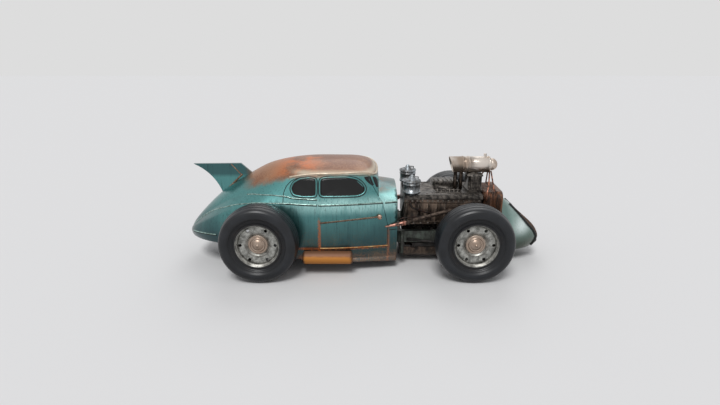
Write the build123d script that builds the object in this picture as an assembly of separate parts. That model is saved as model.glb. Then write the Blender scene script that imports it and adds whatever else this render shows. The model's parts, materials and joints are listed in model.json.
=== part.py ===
from build123d import *
import math
import os

# Streamlined fastback hot rod with an open engine, a tail fin and a waterfall grille.
# Millimetres. +X is the nose, +Y the left side, +Z up. The origin lies on the ground
# in the centre plane, midway between the tail and the nose.

# Driving sizes
tyre_radius = 420
tyre_width = 298
track = 1453
rear_axle_x = -1127
front_axle_x = 1152
cut_overrun = 60
seat_gap = 0.3
running_gap = 0.05

# Wheels
bead_radius = 236
bead_half = 104
ridge_radius = 298
ridge_half = 140
bulge_radius = 335
shoulder_radius = 406
tread_half = 100
barrel_thickness = 12
flange_radius = 247
flange_inner_half = 112
flange_outer_half = 118
vent_count = 6
vent_radius = 17
vent_circle_radius = 183
cap_radius = 105
cap_rim_out = 60
cap_top_out = 96
# Rings of the cap, each as (outboard, radius), from the foot to the foot of the dome
cap_rings = [
    (52, 0), (52, 105), (60, 105), (66, 100), (67, 89), (61, 83), (74, 74), (79, 68), (74, 60),
]
cap_dome_mid = (91, 32)
nipple_radius = 13
nipple_out = 110
hub_radius = 46
hub_inner_out = -30
hub_outer_out = 52
disc_thickness = 9
spindle_radius = 22
drum_radius = 150
drum_inner_out = -92
drum_outer_out = -38

# Steering
kingpin_out = -132
kingpin_radius = 16
kingpin_half_height = 62
eye_radius = 33
eye_half_height = 34
lug_gap = 3
arm_inset = 72
arm_reach = 168
arm_thickness = 16
arm_end_z = 240
tie_rod_radius = 12
tie_rod_end_radius = 20

# Body shell. Columns: x, floor z, floor half width, side z, side half width,
# belt z, belt half width, roof lip z, roof lip half width, crown z
body_sections = [
    (146, 136, 499, 500, 515, 790, 495, 1012, 350, 1052),
    (60, 136, 514, 500, 531, 790, 512, 1080, 398, 1138),
    (-150, 136, 545, 500, 562, 788, 545, 1100, 436, 1190),
    (-500, 136, 568, 500, 584, 786, 570, 1092, 444, 1196),
    (-850, 180, 550, 500, 566, 786, 556, 1040, 425, 1172),
    (-1127, 262, 535, 500, 560, 780, 530, 950, 380, 1104),
    (-1450, 288, 470, 480, 515, 700, 470, 800, 300, 930),
    (-1700, 290, 390, 440, 432, 580, 385, 655, 230, 755),
    (-1880, 288, 285, 400, 325, 480, 280, 525, 150, 585),
    (-2000, 286, 165, 370, 200, 405, 170, 425, 90, 452),
    (-2052, 284, 70, 330, 92, 350, 76, 358, 40, 368),
]
# Cowl. Columns: x, floor z, floor half width, side z, side half width,
# belt z, belt half width, crown z
cowl_sections = [
    (146, 136, 499, 500, 515, 790, 495, 930),
    (200, 136, 488, 500, 506, 792, 488, 922),
    (352, 136, 455, 500, 470, 795, 452, 894),
]
wall = 36
glass_thickness = 6
glass_inset = 14
bulkhead_x = -850
roof_split_z = 1046
cowl_rear_x = -20
firewall_thickness = 14
floor_bottom = 150
floor_thickness = 30
arch_radius = 240
bulkhead_thickness = 14

# Doors. The outline lies in the plane of the body side, each point as (x, z).
door_outline = [
    (-510, 284), (262, 284), (254, 552), (198, 790), (87, 1002), (60, 1076), (-486, 1076),
]
door_plane_out = 560
door_slant_share = 0.25
door_gap = 5
door_hinge_gap = 0.8
window_outline = [(-476, 1050), (-120, 1048), (0, 935), (-40, 884), (-474, 882)]
quarter_outline = [(-792, 930), (-752, 1004), (-690, 1032), (-546, 1034), (-544, 886), (-740, 886)]
window_corner = 26
spear_rear = (-489, 587)
spear_front = (154, 638)
spear_radius = 9
rosette_radius = 24
rosette_thickness = 14

# Tail fin, each point as (x, z)
fin_front_foot = (-1290, 985)
fin_front_top = (-1435, 1114)
fin_tip = (-1979, 1109)
fin_rear_mid = (-1790, 975)
fin_rear_foot = (-1660, 740)
fin_thickness = 30

# Chassis
rail_outer = 362
rail_width = 56
rail_bottom = 280
rail_depth = 132
rail_front_x = 1460
rear_rail_outer = 316
rear_rail_depth = 84
rear_rail_x = -1640
kick_rise = 216
kick_rear_x = -1300
kick_end_x = -1440
crossmember_width = 70
crossmember_height = 60
crossmember_places = [1440, 388]
rear_crossmember_x = -1600
tow_eye_bore = 15
tow_eye_radius = 36
tow_eye_thickness = 16
tow_eye_x = {"front": 1465, "rear": -1600}
tow_eye_drop = {"front": 180, "rear": 110}
nose_horn_out = 220
nose_horn_x = 1630
nose_post_radius = 20
tank_x = -1545
tank_radius = 96
tank_half = 330
tank_band_out = 230
tank_band_width = 30
tank_band_proud = 5
pan_bottom = 62
pan_depth = 134
pan_half = 300
pan_rear_x = 400
pan_front_x = 1380
pan_wall = 12
pan_slope = 60
pan_tab_places = [580, 1290]
pan_tab_length = 40
strut_x = 416
strut_out = 380
strut_radius = 20
strut_z = (146, 420)
axle_pad_half = 30
engine_mount_x = (660, 740)
engine_mount_z = (340, 400)

# Axles and links
axle_radius = 27
axle_drop_z = 250
axle_drop_half = 400
axle_end_out = 530
axle_bend_radius = 40
rear_tube_radius = 40
differential_radius = 120
link_radius = 22
link_tip_radius = 7
link_cone_radius = 27
link_bend = 60
# Brace from the cowl to the engine, each point as (x, out, z)
brace_tip = (214, 506, 516)
brace_points = [(418, 490, 554), (653, 452, 606), (900, 366, 644), (1010, 270, 652)]
brace_collar_radius = 31
brace_collar_shares = [(0.02, 0.11), (0.15, 0.24)]
radius_rod_rear_x = 470
radius_rod_z = (250, 320)
radius_rod_radius = 14
radius_rod_gap = 14
side_pipe_x = (533, 900)
side_pipe_out = 337
side_pipe_radius = 30

# Engine and induction
engine_rear_x = 440
engine_front_x = 1300
deck_front_x = 1318
deck_low_z = 760
engine_top_z = 809
engine_half = 290
block_half = 270
# Crankcase across the car, each row as (half width, z) from the foot up
crankcase_rows = [(150, 300), (190, 360), (190, 430), (270, 540), (270, 760)]
sump_half = 190
sump_overlap_z = 340
sump_deep_half = 150
sump_deep_bottom = 232
sump_deep_x = (500, 900)
deck_rail_x = (620, 1312)
deck_rail_out = 284
deck_rail_radius = 6
plenum_x = (797, 1100)
plenum_y = (32, 250)
plenum_top_z = 885
plenum_corner = 18
plenum_rib_count = 6
plenum_rib_width = 12
plenum_rib_proud = 7
fuel_rail_x = (802, 1084)
fuel_rail_out = 150
fuel_rail_z = 834
fuel_rail_radius = 9
injector_count = 6
injector_radius = 12
cover_low_z = 470
cover_bead_places = [500, 727]
cover_bead_radius = 6
cover_rib_places = [470, 600, 700, 800, 900, 1120, 1210]
cover_rib_width = 12
cover_rib_proud = 8
cover_rib_z = (512, 712)
blower_rear_x = 1186
blower_front_x = 1343
blower_half = 118
blower_corner = 34
blower_plate_z = [(809, 829), (985, 1003)]
blower_plate_half = [138, 122]
blower_plate_x = [(1176, 1347), (1166, 1347)]
blower_rib_count = 6
blower_rib_width = 8
blower_rib_proud = 9
blower_neck_x = 1248
blower_neck_radius = 62
tube_z = 1100
tube_radius = 92
tube_rear_top_x = 967
tube_rear_low_x = 1023
tube_front_x = 1435
tube_end_x = 1528
tube_wall = 6
tube_end_radius = 70
tube_bands = [(1118, 1132), (1186, 1200), (1414, 1434)]
tube_band_proud = 5
latch_x = (1368, 1396)
latch_half = 15
latch_top_z = 1226
tube_leg_radius = 22
tube_leg_places = [1051, 1118]
canister_x = 521
canister_out = 255
# Canister from its foot up, each row as (radius, lower z, upper z)
canister_rows = [
    (60, 809.3, 836), (92, 833, 968), (97, 842, 856), (97, 930, 944), (101, 966, 972),
    (98, 971, 982), (40, 981, 1003), (30, 1002, 1018),
]
canister_knob_radius = 22
lever_x = 590
lever_radius = 6
radiator_x = (1352, 1550)
radiator_half = 262
radiator_top = 822
radiator_corner = 70
collar_x = (1486, 1550)
collar_proud = 12
radiator_rib_count = 7
radiator_rib_proud = 6

# Pipes about the engine, each point as (x, out, z)
copper_points = [(1428, 70, 1042), (1398, 200, 912), (1368, 270.3, 842), (1362, 270.3, 726)]
copper_radius = 8
short_strut_start = (1446, 66, 1036)
short_strut_end = (1468, 204, 816)
fuel_line_points = [(346, 426.2, 563.9), (420, 424, 590), (600, 360, 586), (652, 330, 580), (656, 280, 578)]
fuel_line_radius = 7
hose_tables = [
    [(500, 280, 742), (500, 318, 742), (524, 322, 676), (604, 322, 640), (640, 280, 626)],
    [(560, 280, 742), (560, 340, 742), (570, 344, 680), (664, 336, 628), (760, 280, 600)],
]
hose_radius = 9
hose_bend = 14

# Nose. Columns: x, floor z, floor half width, side z, side half width,
# shoulder z, shoulder half width, crown z
nose_sections = [
    (1556, 150, 296, 350, 350, 568, 298, 722),
    (1690, 150, 285, 330, 345, 500, 290, 655),
    (1870, 152, 215, 300, 282, 400, 235, 500),
    (1985, 158, 130, 280, 195, 340, 160, 398),
    (2056, 170, 50, 245, 92, 275, 72, 300),
]
nose_wall = 20
mouth_top = (640, 88)
mouth_mid = (430, 176)
mouth_low = (176, 168)
rim_width = 20
rim_proud = 6
bar_count = 9
bar_thickness = 8
bar_depth = 26
bar_inset = 4
mouth_corner = 30

# Mufflers on the rockers
muffler_rear_x = -681
muffler_front_x = -140
muffler_z = 207
muffler_radius = 71
muffler_out = 630

# Cabin
seat_rear_x = -780
seat_depth = 520
seat_half = 470
seat_height = 200
seat_back_height = 470
seat_back_thickness = 150
wheel_ring_radius = 190
wheel_ring_tube = 14
wheel_x = -130
wheel_z = 800
wheel_out = 240
column_radius = 18
column_tilt = 28
dash_x = 10
dash_depth = 90
dash_bottom = 760
dash_top = 872

wheel_out_centre = track / 2


def block(x_range, y_range, z_range):
    size = (x_range[1] - x_range[0], y_range[1] - y_range[0], z_range[1] - z_range[0])
    middle = (sum(x_range) / 2, sum(y_range) / 2, sum(z_range) / 2)
    return Pos(*middle) * Box(*size)


def rod(start, end, radius, end_radius=None):
    path = Line(start, end)
    plane = Plane(origin=start, z_dir=Vector(*end) - Vector(*start))
    if end_radius is None:
        return extrude(plane * Circle(radius), path.length)
    return Solid.make_cone(radius, end_radius, path.length, plane)


def bent_tube(points, radius, bend):
    path = FilletPolyline(*points, radius=bend)
    section = Plane(origin=path @ 0, z_dir=path % 0) * Circle(radius)
    return sweep(section, path=path)


def post(x, y, z_range, radius):
    return Pos(x, y, sum(z_range) / 2) * Cylinder(radius, z_range[1] - z_range[0])


def barrel_along(x_range, y, z, radius):
    return Pos(sum(x_range) / 2, y, z) * Rot(0, 90, 0) * Cylinder(radius, x_range[1] - x_range[0])


def slab(rows, x_range):
    """Carry a symmetric outline, its rows of (half width, z) from the foot up, along the car."""
    right = [(-half, z) for half, z in rows]
    left = [(half, z) for half, z in reversed(rows)]
    start = Plane(origin=(x_range[0], 0, 0), x_dir=(0, 1, 0), z_dir=(1, 0, 0))
    return extrude(start * make_face(Polyline(*right, *left, close=True)), x_range[1] - x_range[0])


def turned(points):
    """Turn an outline of (outboard, radius) points about the wheel's axis."""
    outline = Plane.YZ * make_face(Polyline(*points, close=True))
    return revolve(outline, Axis.Y)


def mirrored(shape):
    return mirror(shape, Plane.XZ)


def prism(points, y_range, corner=0):
    """Carry an outline of (x, z) points across the car."""
    outline = make_face(Polyline(*points, close=True))
    if corner:
        outline = fillet(outline.vertices(), corner)
    plane = Plane(origin=(0, y_range[0], 0), x_dir=(1, 0, 0), z_dir=(0, -1, 0))
    return extrude(plane * outline, -(y_range[1] - y_range[0]))


def body_section(row, inset, open_floor):
    x, floor_z, floor_half, side_z, side_half, belt_z, belt_half, lip_z, lip_half, crown_z = row
    floor_half, side_half = floor_half - inset, side_half - inset
    belt_half, lip_half = belt_half - inset, lip_half - inset * 0.8
    lip_z, crown_z = lip_z - inset * 0.8, crown_z - inset
    low = floor_z - (cut_overrun if open_floor else -inset)
    side_bow = (floor_half * 0.3 + side_half * 0.7, low * 0.5 + side_z * 0.5)
    belt_bow = (side_half * 0.55 + belt_half * 0.45 + 3, side_z * 0.5 + belt_z * 0.5)
    lip_bow = (belt_half * 0.5 + lip_half * 0.5 + 4, belt_z * 0.5 + lip_z * 0.5)
    right = [
        ThreePointArc((-floor_half, low), (-side_bow[0], side_bow[1]), (-side_half, side_z)),
        ThreePointArc((-side_half, side_z), (-belt_bow[0], belt_bow[1]), (-belt_half, belt_z)),
        ThreePointArc((-belt_half, belt_z), (-lip_bow[0], lip_bow[1]), (-lip_half, lip_z)),
    ]
    roof = [ThreePointArc((-lip_half, lip_z), (0, crown_z), (lip_half, lip_z))]
    left = [
        ThreePointArc((lip_half, lip_z), lip_bow, (belt_half, belt_z)),
        ThreePointArc((belt_half, belt_z), belt_bow, (side_half, side_z)),
        ThreePointArc((side_half, side_z), side_bow, (floor_half, low)),
    ]
    floor = [Line((floor_half, low), (-floor_half, low))]
    plane = Plane(origin=(x, 0, 0), x_dir=(0, 1, 0), z_dir=(1, 0, 0))
    return plane * make_face(Wire(right + roof + left + floor))


def body_loft(inset=0, rows=None, open_floor=False):
    sections = [body_section(row, inset, open_floor) for row in (rows or body_sections)]
    return loft(sections)


def half_hull_section(row, inset, open_floor=False):
    x, floor_z, floor_half, side_z, side_half, top_z, top_half, crown_z = row
    floor_half, side_half = floor_half - inset, side_half - inset
    top_half, crown_z, top_z = top_half - inset * 0.7, crown_z - inset, top_z - inset * 0.7
    low = floor_z - (cut_overrun if open_floor else -inset)
    side_bow = (floor_half * 0.3 + side_half * 0.7, low * 0.5 + side_z * 0.5)
    top_bow = (side_half * 0.55 + top_half * 0.45 + 3, side_z * 0.5 + top_z * 0.5)
    edges = [
        ThreePointArc((-floor_half, low), (-side_bow[0], side_bow[1]), (-side_half, side_z)),
        ThreePointArc((-side_half, side_z), (-top_bow[0], top_bow[1]), (-top_half, top_z)),
        ThreePointArc((-top_half, top_z), (0, crown_z), (top_half, top_z)),
        ThreePointArc((top_half, top_z), top_bow, (side_half, side_z)),
        ThreePointArc((side_half, side_z), side_bow, (floor_half, low)),
        Line((floor_half, low), (-floor_half, low)),
    ]
    plane = Plane(origin=(x, 0, 0), x_dir=(0, 1, 0), z_dir=(1, 0, 0))
    return plane * make_face(Wire(edges))


def hull_loft(rows, inset=0, open_floor=False):
    return loft([half_hull_section(row, inset, open_floor) for row in rows])


def write(name, shape):
    export_step(shape, f"parts/{name}.step")


def tyre():
    edges = [
        Line((-bead_half, bead_radius), (-ridge_half, ridge_radius)),
        ThreePointArc(
            (-ridge_half, ridge_radius), (-tyre_width / 2, bulge_radius), (-tread_half, shoulder_radius)
        ),
        ThreePointArc((-tread_half, shoulder_radius), (0, tyre_radius), (tread_half, shoulder_radius)),
        ThreePointArc(
            (tread_half, shoulder_radius), (tyre_width / 2, bulge_radius), (ridge_half, ridge_radius)
        ),
        Line((ridge_half, ridge_radius), (bead_half, bead_radius)),
        Line((bead_half, bead_radius), (-bead_half, bead_radius)),
    ]
    return revolve(Plane.YZ * make_face(Wire(edges)), Axis.Y)


def wheel_disc():
    """Steel wheel with its outboard side on +Y."""
    outer = bead_radius - seat_gap
    inner = outer - barrel_thickness
    barrel = turned([(-bead_half, inner), (-bead_half, outer), (bead_half, outer), (bead_half, inner)])
    for side in (-1, 1):
        flange = [(flange_inner_half, inner), (flange_inner_half, flange_radius),
                  (flange_outer_half, flange_radius), (flange_outer_half, inner)]
        neck = [(bead_half - 1, inner), (bead_half - 1, outer), (flange_inner_half + 1, outer),
                (flange_inner_half + 1, inner)]
        barrel += turned([(side * out, radius) for out, radius in flange])
        barrel += turned([(side * out, radius) for out, radius in neck])
    face = [(cap_rim_out - 6, hub_radius - 4), (cap_rim_out - 6, cap_radius + 4), (66, 120),
            (74, 127), (69, 135), (74, 146), (81, 196), (66, inner + 2)]
    back = [(out - disc_thickness, radius) for out, radius in reversed(face)]
    dish = turned(face + back)
    vent = Rot(90, 0, 0) * Cylinder(vent_radius, tyre_width)
    for index in range(vent_count):
        dish -= Rot(0, index * 360 / vent_count, 0) * Pos(vent_circle_radius, 0, 0) * vent
    hub = turned([(hub_inner_out, spindle_radius), (hub_inner_out, hub_radius),
                  (hub_outer_out, hub_radius), (hub_outer_out, spindle_radius)])
    foot = [Line(first, second) for first, second in zip(cap_rings, cap_rings[1:])]
    dome = ThreePointArc(cap_rings[-1], cap_dome_mid, (cap_top_out, 0))
    cap = revolve(Plane.YZ * make_face(Wire(foot + [dome, Line((cap_top_out, 0), cap_rings[0])])), Axis.Y)
    nipple = Pos(0, (cap_top_out + nipple_out) / 2 - 6, 0) * Rot(90, 0, 0) * Cylinder(
        nipple_radius, nipple_out - cap_top_out + 12
    )
    return barrel + dish + hub + cap + nipple


def brake_and_spindle():
    """Drum and spindle, with the wheel's side on +Y."""
    drum = turned([(drum_inner_out, 0), (drum_inner_out, drum_radius), (drum_outer_out, drum_radius),
                   (drum_outer_out, 0)])
    spindle = turned([(drum_inner_out, 0), (drum_inner_out, spindle_radius - running_gap),
                      (hub_outer_out - 6, spindle_radius - running_gap), (hub_outer_out - 6, 0)])
    return drum + spindle


def knuckle():
    """Left front knuckle about its wheel's centre, with the wheel's side on +Y."""
    lug_low = eye_half_height + lug_gap
    lug_height = kingpin_half_height - lug_low
    shape = brake_and_spindle()
    for side in (-1, 1):
        lug_z = side * (lug_low + lug_height / 2)
        shape += Pos(0, kingpin_out, lug_z) * Cylinder(eye_radius, lug_height)
        shape += block((-eye_radius, eye_radius), (kingpin_out, drum_inner_out + 4),
                       (lug_z - lug_height / 2, lug_z + lug_height / 2))
    shape += Pos(0, kingpin_out, 0) * Cylinder(kingpin_radius - running_gap, 2 * kingpin_half_height)
    low_lug_z = -(lug_low + lug_height / 2)
    arm_out = kingpin_out - arm_inset
    arm_z = arm_end_z - tyre_radius
    shape += rod((0, kingpin_out, low_lug_z), (-arm_reach, arm_out, arm_z + arm_thickness), arm_thickness)
    shape += Pos(-arm_reach, arm_out, arm_z + arm_thickness / 2) * Cylinder(
        tie_rod_end_radius, arm_thickness * 2
    )
    return shape


def tie_rod():
    arm_out = wheel_out_centre + kingpin_out - arm_inset
    x = front_axle_x - arm_reach
    z = arm_end_z - arm_thickness / 2 - seat_gap - tie_rod_radius - 2
    shape = rod((x, -arm_out, z), (x, arm_out, z), tie_rod_radius)
    for side in (-1, 1):
        shape += Pos(x, side * arm_out, z) * Cylinder(tie_rod_end_radius, 2 * tie_rod_radius + 4)
    return shape


def front_axle():
    end_out = wheel_out_centre + kingpin_out
    points = [
        (front_axle_x, -end_out + eye_radius - 8, tyre_radius),
        (front_axle_x, -axle_end_out, tyre_radius),
        (front_axle_x, -axle_drop_half, axle_drop_z),
        (front_axle_x, axle_drop_half, axle_drop_z),
        (front_axle_x, axle_end_out, tyre_radius),
        (front_axle_x, end_out - eye_radius + 8, tyre_radius),
    ]
    shape = bent_tube(points, axle_radius, axle_bend_radius)
    for side in (-1, 1):
        shape += Pos(front_axle_x, side * end_out, tyre_radius) * Cylinder(eye_radius, 2 * eye_half_height)
        shape -= Pos(front_axle_x, side * end_out, tyre_radius) * Cylinder(
            kingpin_radius, 2 * eye_half_height + cut_overrun
        )
    return shape


def rear_axle():
    drum_in = wheel_out_centre + drum_inner_out
    shape = rod((rear_axle_x, -drum_in - 4, tyre_radius), (rear_axle_x, drum_in + 4, tyre_radius),
                rear_tube_radius)
    shape += Pos(rear_axle_x, 0, tyre_radius) * Sphere(differential_radius)
    shape += rod((rear_axle_x, 0, tyre_radius), (bulkhead_x - seat_gap, 0, tyre_radius), rear_tube_radius)
    left = Pos(rear_axle_x, wheel_out_centre, tyre_radius) * brake_and_spindle()
    return shape + left + mirrored(left)


def tow_eye(place, root_z):
    """Plate hanging in the centre plane under a crossmember, with its bore across the car."""
    eye_x, eye_z = tow_eye_x[place], root_z - tow_eye_drop[place]
    across = Pos(eye_x, 0, eye_z) * Rot(90, 0, 0)
    plate = across * Cylinder(tow_eye_radius, tow_eye_thickness)
    plate += block((eye_x - tow_eye_radius, eye_x + tow_eye_radius),
                   (-tow_eye_thickness / 2, tow_eye_thickness / 2), (eye_z, root_z + 4))
    return plate - across * Cylinder(tow_eye_bore, tow_eye_thickness + cut_overrun)


def front_frame():
    firewall_x = cowl_sections[-1][0] + seat_gap
    rail = block((firewall_x, rail_front_x), (rail_outer - rail_width, rail_outer),
                 (rail_bottom, rail_bottom + rail_depth))
    horn = block((rail_front_x - cut_overrun, nose_horn_x),
                 (nose_horn_out - nose_post_radius, nose_horn_out + nose_post_radius),
                 (rail_bottom, rail_bottom + crossmember_height))
    nose_floor_z = nose_sections[0][1] + nose_wall + seat_gap
    foot = post(nose_horn_x - nose_post_radius, nose_horn_out, (nose_floor_z, rail_bottom + 10),
                nose_post_radius)
    left = rail + horn + foot
    shape = left + mirrored(left)
    inner = rail_outer - rail_width + 2
    for x in crossmember_places:
        shape += block((x - crossmember_width / 2, x + crossmember_width / 2), (-inner, inner),
                       (rail_bottom, rail_bottom + crossmember_height))
    pad = block((front_axle_x - axle_pad_half, front_axle_x + axle_pad_half),
                (rail_outer - rail_width, rail_outer),
                (axle_drop_z + axle_radius + seat_gap, rail_bottom + 2))
    mount = block(engine_mount_x, (sump_half + seat_gap, inner), engine_mount_z)
    strut = post(strut_x, strut_out, strut_z, strut_radius)
    shape += pad + mirrored(pad) + mount + mirrored(mount) + strut + mirrored(strut)
    return shape + tow_eye("front", rail_bottom)


def rear_frame():
    low, high = rail_bottom + 60, rail_bottom + kick_rise
    depth = rear_rail_depth
    outline = [
        (bulkhead_x - seat_gap, high), (kick_rear_x, high), (kick_end_x, low), (rear_rail_x, low),
        (rear_rail_x, low + depth), (kick_end_x + 10, low + depth), (kick_rear_x + 10, high + depth),
        (bulkhead_x - seat_gap, high + depth),
    ]
    left = prism(outline, (rear_rail_outer - rail_width, rear_rail_outer))
    shape = left + mirrored(left)
    inner = rear_rail_outer - rail_width + 2
    x = rear_crossmember_x
    shape += block((x - crossmember_width / 2, x + crossmember_width / 2), (-inner, inner),
                   (low, low + crossmember_height))
    return shape + tow_eye("rear", low)


os.makedirs("parts", exist_ok=True)

# Wheels, each as a left wheel turned over for the right side
left_tyre, left_disc = tyre(), wheel_disc()
right_disc = mirrored(left_disc)
for axle_name, axle_x in (("front", front_axle_x), ("rear", rear_axle_x)):
    for side_name, side, disc in (("left", 1, left_disc), ("right", -1, right_disc)):
        place = Pos(axle_x, side * wheel_out_centre, tyre_radius)
        write(f"tyre_{axle_name}_{side_name}", place * left_tyre)
        write(f"wheel_{axle_name}_{side_name}", place * disc)

left_knuckle = Pos(front_axle_x, wheel_out_centre, tyre_radius) * knuckle()
write("knuckle_left", left_knuckle)
write("knuckle_right", mirrored(left_knuckle))
write("tie_rod", tie_rod())
write("front_axle", front_axle())
write("rear_axle", rear_axle())
write("front_frame", front_frame())
write("rear_frame", rear_frame())

# Body shell and doors
outer_body = body_loft()
inner_rows = body_sections[:-2]
tail_end_x = inner_rows[-1][0]
inner_body = body_loft(wall, inner_rows, open_floor=True)
outer_cowl = hull_loft(cowl_sections)
cowl_front_x = cowl_sections[-1][0]
inner_cowl = hull_loft(cowl_sections, wall, open_floor=True)
cowl_hollow = inner_cowl & block(
    (cowl_sections[0][0] - cut_overrun, cowl_front_x - firewall_thickness), (-900, 900), (-900, 1400)
)
windows = prism(window_outline, (-900, 900), window_corner)
quarters = prism(quarter_outline, (-900, 900), window_corner)
shell = (outer_body - inner_body) + (outer_cowl - cowl_hollow)


def door_prism(side, grow=0):
    """The door's outline carried inwards on a slant, so that its front edge swings clear."""
    outline = make_face(Polyline(*door_outline, close=True))
    if grow:
        outline = offset(outline, grow, kind=Kind.INTERSECTION)
        (low_x, low_z), (high_x, high_z) = door_outline[0], door_outline[-1]
        lean = (high_x - low_x) / (high_z - low_z)
        low, high = low_z - cut_overrun, high_z + cut_overrun
        hinge_line = [(low_x - door_hinge_gap - lean * cut_overrun, low),
                      (high_x - door_hinge_gap + lean * cut_overrun, high)]
        outline &= make_face(Polyline(*hinge_line, (cowl_front_x, high), (cowl_front_x, low), close=True))
    depth, reach = 200, 420
    start = Plane(origin=(depth * door_slant_share, side * (door_plane_out + depth), 0),
                  x_dir=(1, 0, 0), z_dir=(0, -1, 0))
    return extrude(start * outline, amount=reach, dir=(-door_slant_share, -side, 0))


open_shell = shell - windows - quarters
opening = {side: door_prism(side, door_gap) for side in (-1, 1)}
for side, side_name in ((1, "left"), (-1, "right")):
    door = open_shell & door_prism(side)
    write(f"door_{side_name}", door)
    open_shell -= opening[side]
wide, tall = (-900, 900), (-200, 1500)
roof_region = block((bulkhead_x, 400), wide, (roof_split_z, 1500))
write("roof_panel", open_shell & roof_region)
lower_shell = open_shell - roof_region
write("cowl_panel", lower_shell & block((cowl_rear_x, 400), wide, tall))
for side, side_name in ((1, "left"), (-1, "right")):
    half = (0, 900) if side > 0 else (-900, 0)
    write(f"quarter_{side_name}", lower_shell & block((bulkhead_x, cowl_rear_x), half, tall))
arch = Pos(rear_axle_x, 0, tyre_radius) * Rot(90, 0, 0) * Cylinder(arch_radius, 1400)
write("tail_shell", (lower_shell & block((-2100, bulkhead_x), wide, tall)) - arch)

# Cabin
cabin_space = body_loft(wall + seat_gap, inner_rows, open_floor=True) + hull_loft(
    cowl_sections, wall + seat_gap, open_floor=True
)
bulkhead_front_x = bulkhead_x + bulkhead_thickness
firewall_x = cowl_front_x - firewall_thickness
floor_top = floor_bottom + floor_thickness
floor_slab = block((bulkhead_x, firewall_x - seat_gap), wide, (floor_bottom, floor_top))
bulkhead = cabin_space & block((bulkhead_x, bulkhead_front_x), wide, (floor_bottom, 1300))
write("cabin_floor", (cabin_space & floor_slab) + bulkhead)

seat_front_x = seat_rear_x + seat_depth
cushion = [
    (seat_rear_x + seat_back_thickness, floor_top + seat_gap), (seat_front_x, floor_top + seat_gap),
    (seat_front_x, floor_top + seat_height), (seat_rear_x + seat_back_thickness, floor_top + seat_height - 30),
]
write("seat_cushion", prism(cushion, (-seat_half, seat_half), 24))
back_low = seat_rear_x + seat_back_thickness - seat_gap
back = [
    (seat_rear_x, floor_top + seat_gap), (back_low, floor_top + seat_gap),
    (back_low, floor_top + seat_height), (back_low - 50, floor_top + seat_height + seat_back_height),
    (seat_rear_x - 40, floor_top + seat_height + seat_back_height), 
]
write("seat_back", prism(back, (-seat_half, seat_half), 24))

dash_box = block((dash_x, dash_x + dash_depth), wide, (dash_bottom, dash_top))
write("dashboard", cabin_space & dash_box)
ring_plane = Plane(origin=(wheel_x, wheel_out, wheel_z),
                   z_dir=(-math.cos(math.radians(column_tilt)), 0, math.sin(math.radians(column_tilt))))
ring = ring_plane * Torus(wheel_ring_radius, wheel_ring_tube)
hub = ring_plane * Cylinder(30, 40)
for index in range(3):
    spoke = Rot(0, 0, 90 + index * 120) * Pos(wheel_ring_radius / 2, 0, 0) * Box(wheel_ring_radius - 8, 26, 8)
    hub += ring_plane * spoke
write("steering_wheel", ring + hub)
column_start = ring_plane.from_local_coords(Vector(0, 0, -20 - seat_gap))
reach = (firewall_x - seat_gap - 8.5 - column_start.X) / math.cos(math.radians(column_tilt))
column_end = ring_plane.from_local_coords(Vector(0, 0, -20 - reach))
write("steering_column", rod(tuple(column_start), tuple(column_end), column_radius))

# Glass
glass_band = body_loft(glass_inset, inner_rows) - body_loft(glass_inset + glass_thickness, inner_rows)
def pane(outline, y_range):
    face = offset(fillet(make_face(Polyline(*outline, close=True)).vertices(), window_corner), -seat_gap)
    plane = Plane(origin=(0, y_range[0], 0), x_dir=(1, 0, 0), z_dir=(0, -1, 0))
    return glass_band & extrude(plane * face, y_range[0] - y_range[1])


write("door_glass_left", pane(window_outline, (0, 900)))
write("door_glass_right", pane(window_outline, (-900, 0)))
write("quarter_glass", pane(quarter_outline, (-900, 900)))
windscreen = cabin_space & block(
    (134, 142), wide, (888, roof_split_z + 30)
)
write("windscreen", windscreen)

# Fin
fin_face = make_face(Wire([
    Line(fin_front_foot, fin_front_top), Line(fin_front_top, fin_tip),
    ThreePointArc(fin_tip, fin_rear_mid, fin_rear_foot), Line(fin_rear_foot, fin_front_foot),
]))
fin_plane = Plane(origin=(0, -fin_thickness / 2, 0), x_dir=(1, 0, 0), z_dir=(0, -1, 0))
write("tail_fin", extrude(fin_plane * fin_face, -fin_thickness) - outer_body)

# Spears along the doors
def side_out(x, z_share_half=4):
    rows = cowl_sections[:0:-1] + body_sections
    for front, rear in zip(rows, rows[1:]):
        if rear[0] <= x <= front[0]:
            share = (x - rear[0]) / (front[0] - rear[0])
            return rear[z_share_half] + share * (front[z_share_half] - rear[z_share_half])


for side, side_name in ((1, "left"), (-1, "right")):
    start = (spear_rear[0], side * (side_out(spear_rear[0]) + spear_radius + 2), spear_rear[1])
    end = (spear_front[0], side * (side_out(spear_front[0]) + spear_radius + 2), spear_front[1])
    spear = rod(start, end, spear_radius)
    spear += Pos(end[0], side * (side_out(spear_front[0]) + spear_radius), end[2]) * Rot(90, 0, 0) * Cylinder(
        rosette_radius, 2 * spear_radius + 30
    )
    write(f"spear_{side_name}", spear - outer_body - outer_cowl)

# Mufflers
can = Pos((muffler_rear_x + muffler_front_x) / 2, muffler_out, muffler_z) * Rot(0, 90, 0) * Cylinder(
    muffler_radius, muffler_front_x - muffler_rear_x
)
can = fillet(can.edges().filter_by(GeomType.CIRCLE), muffler_radius * 0.4) - outer_body
write("mufflers", can + mirrored(can))

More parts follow.
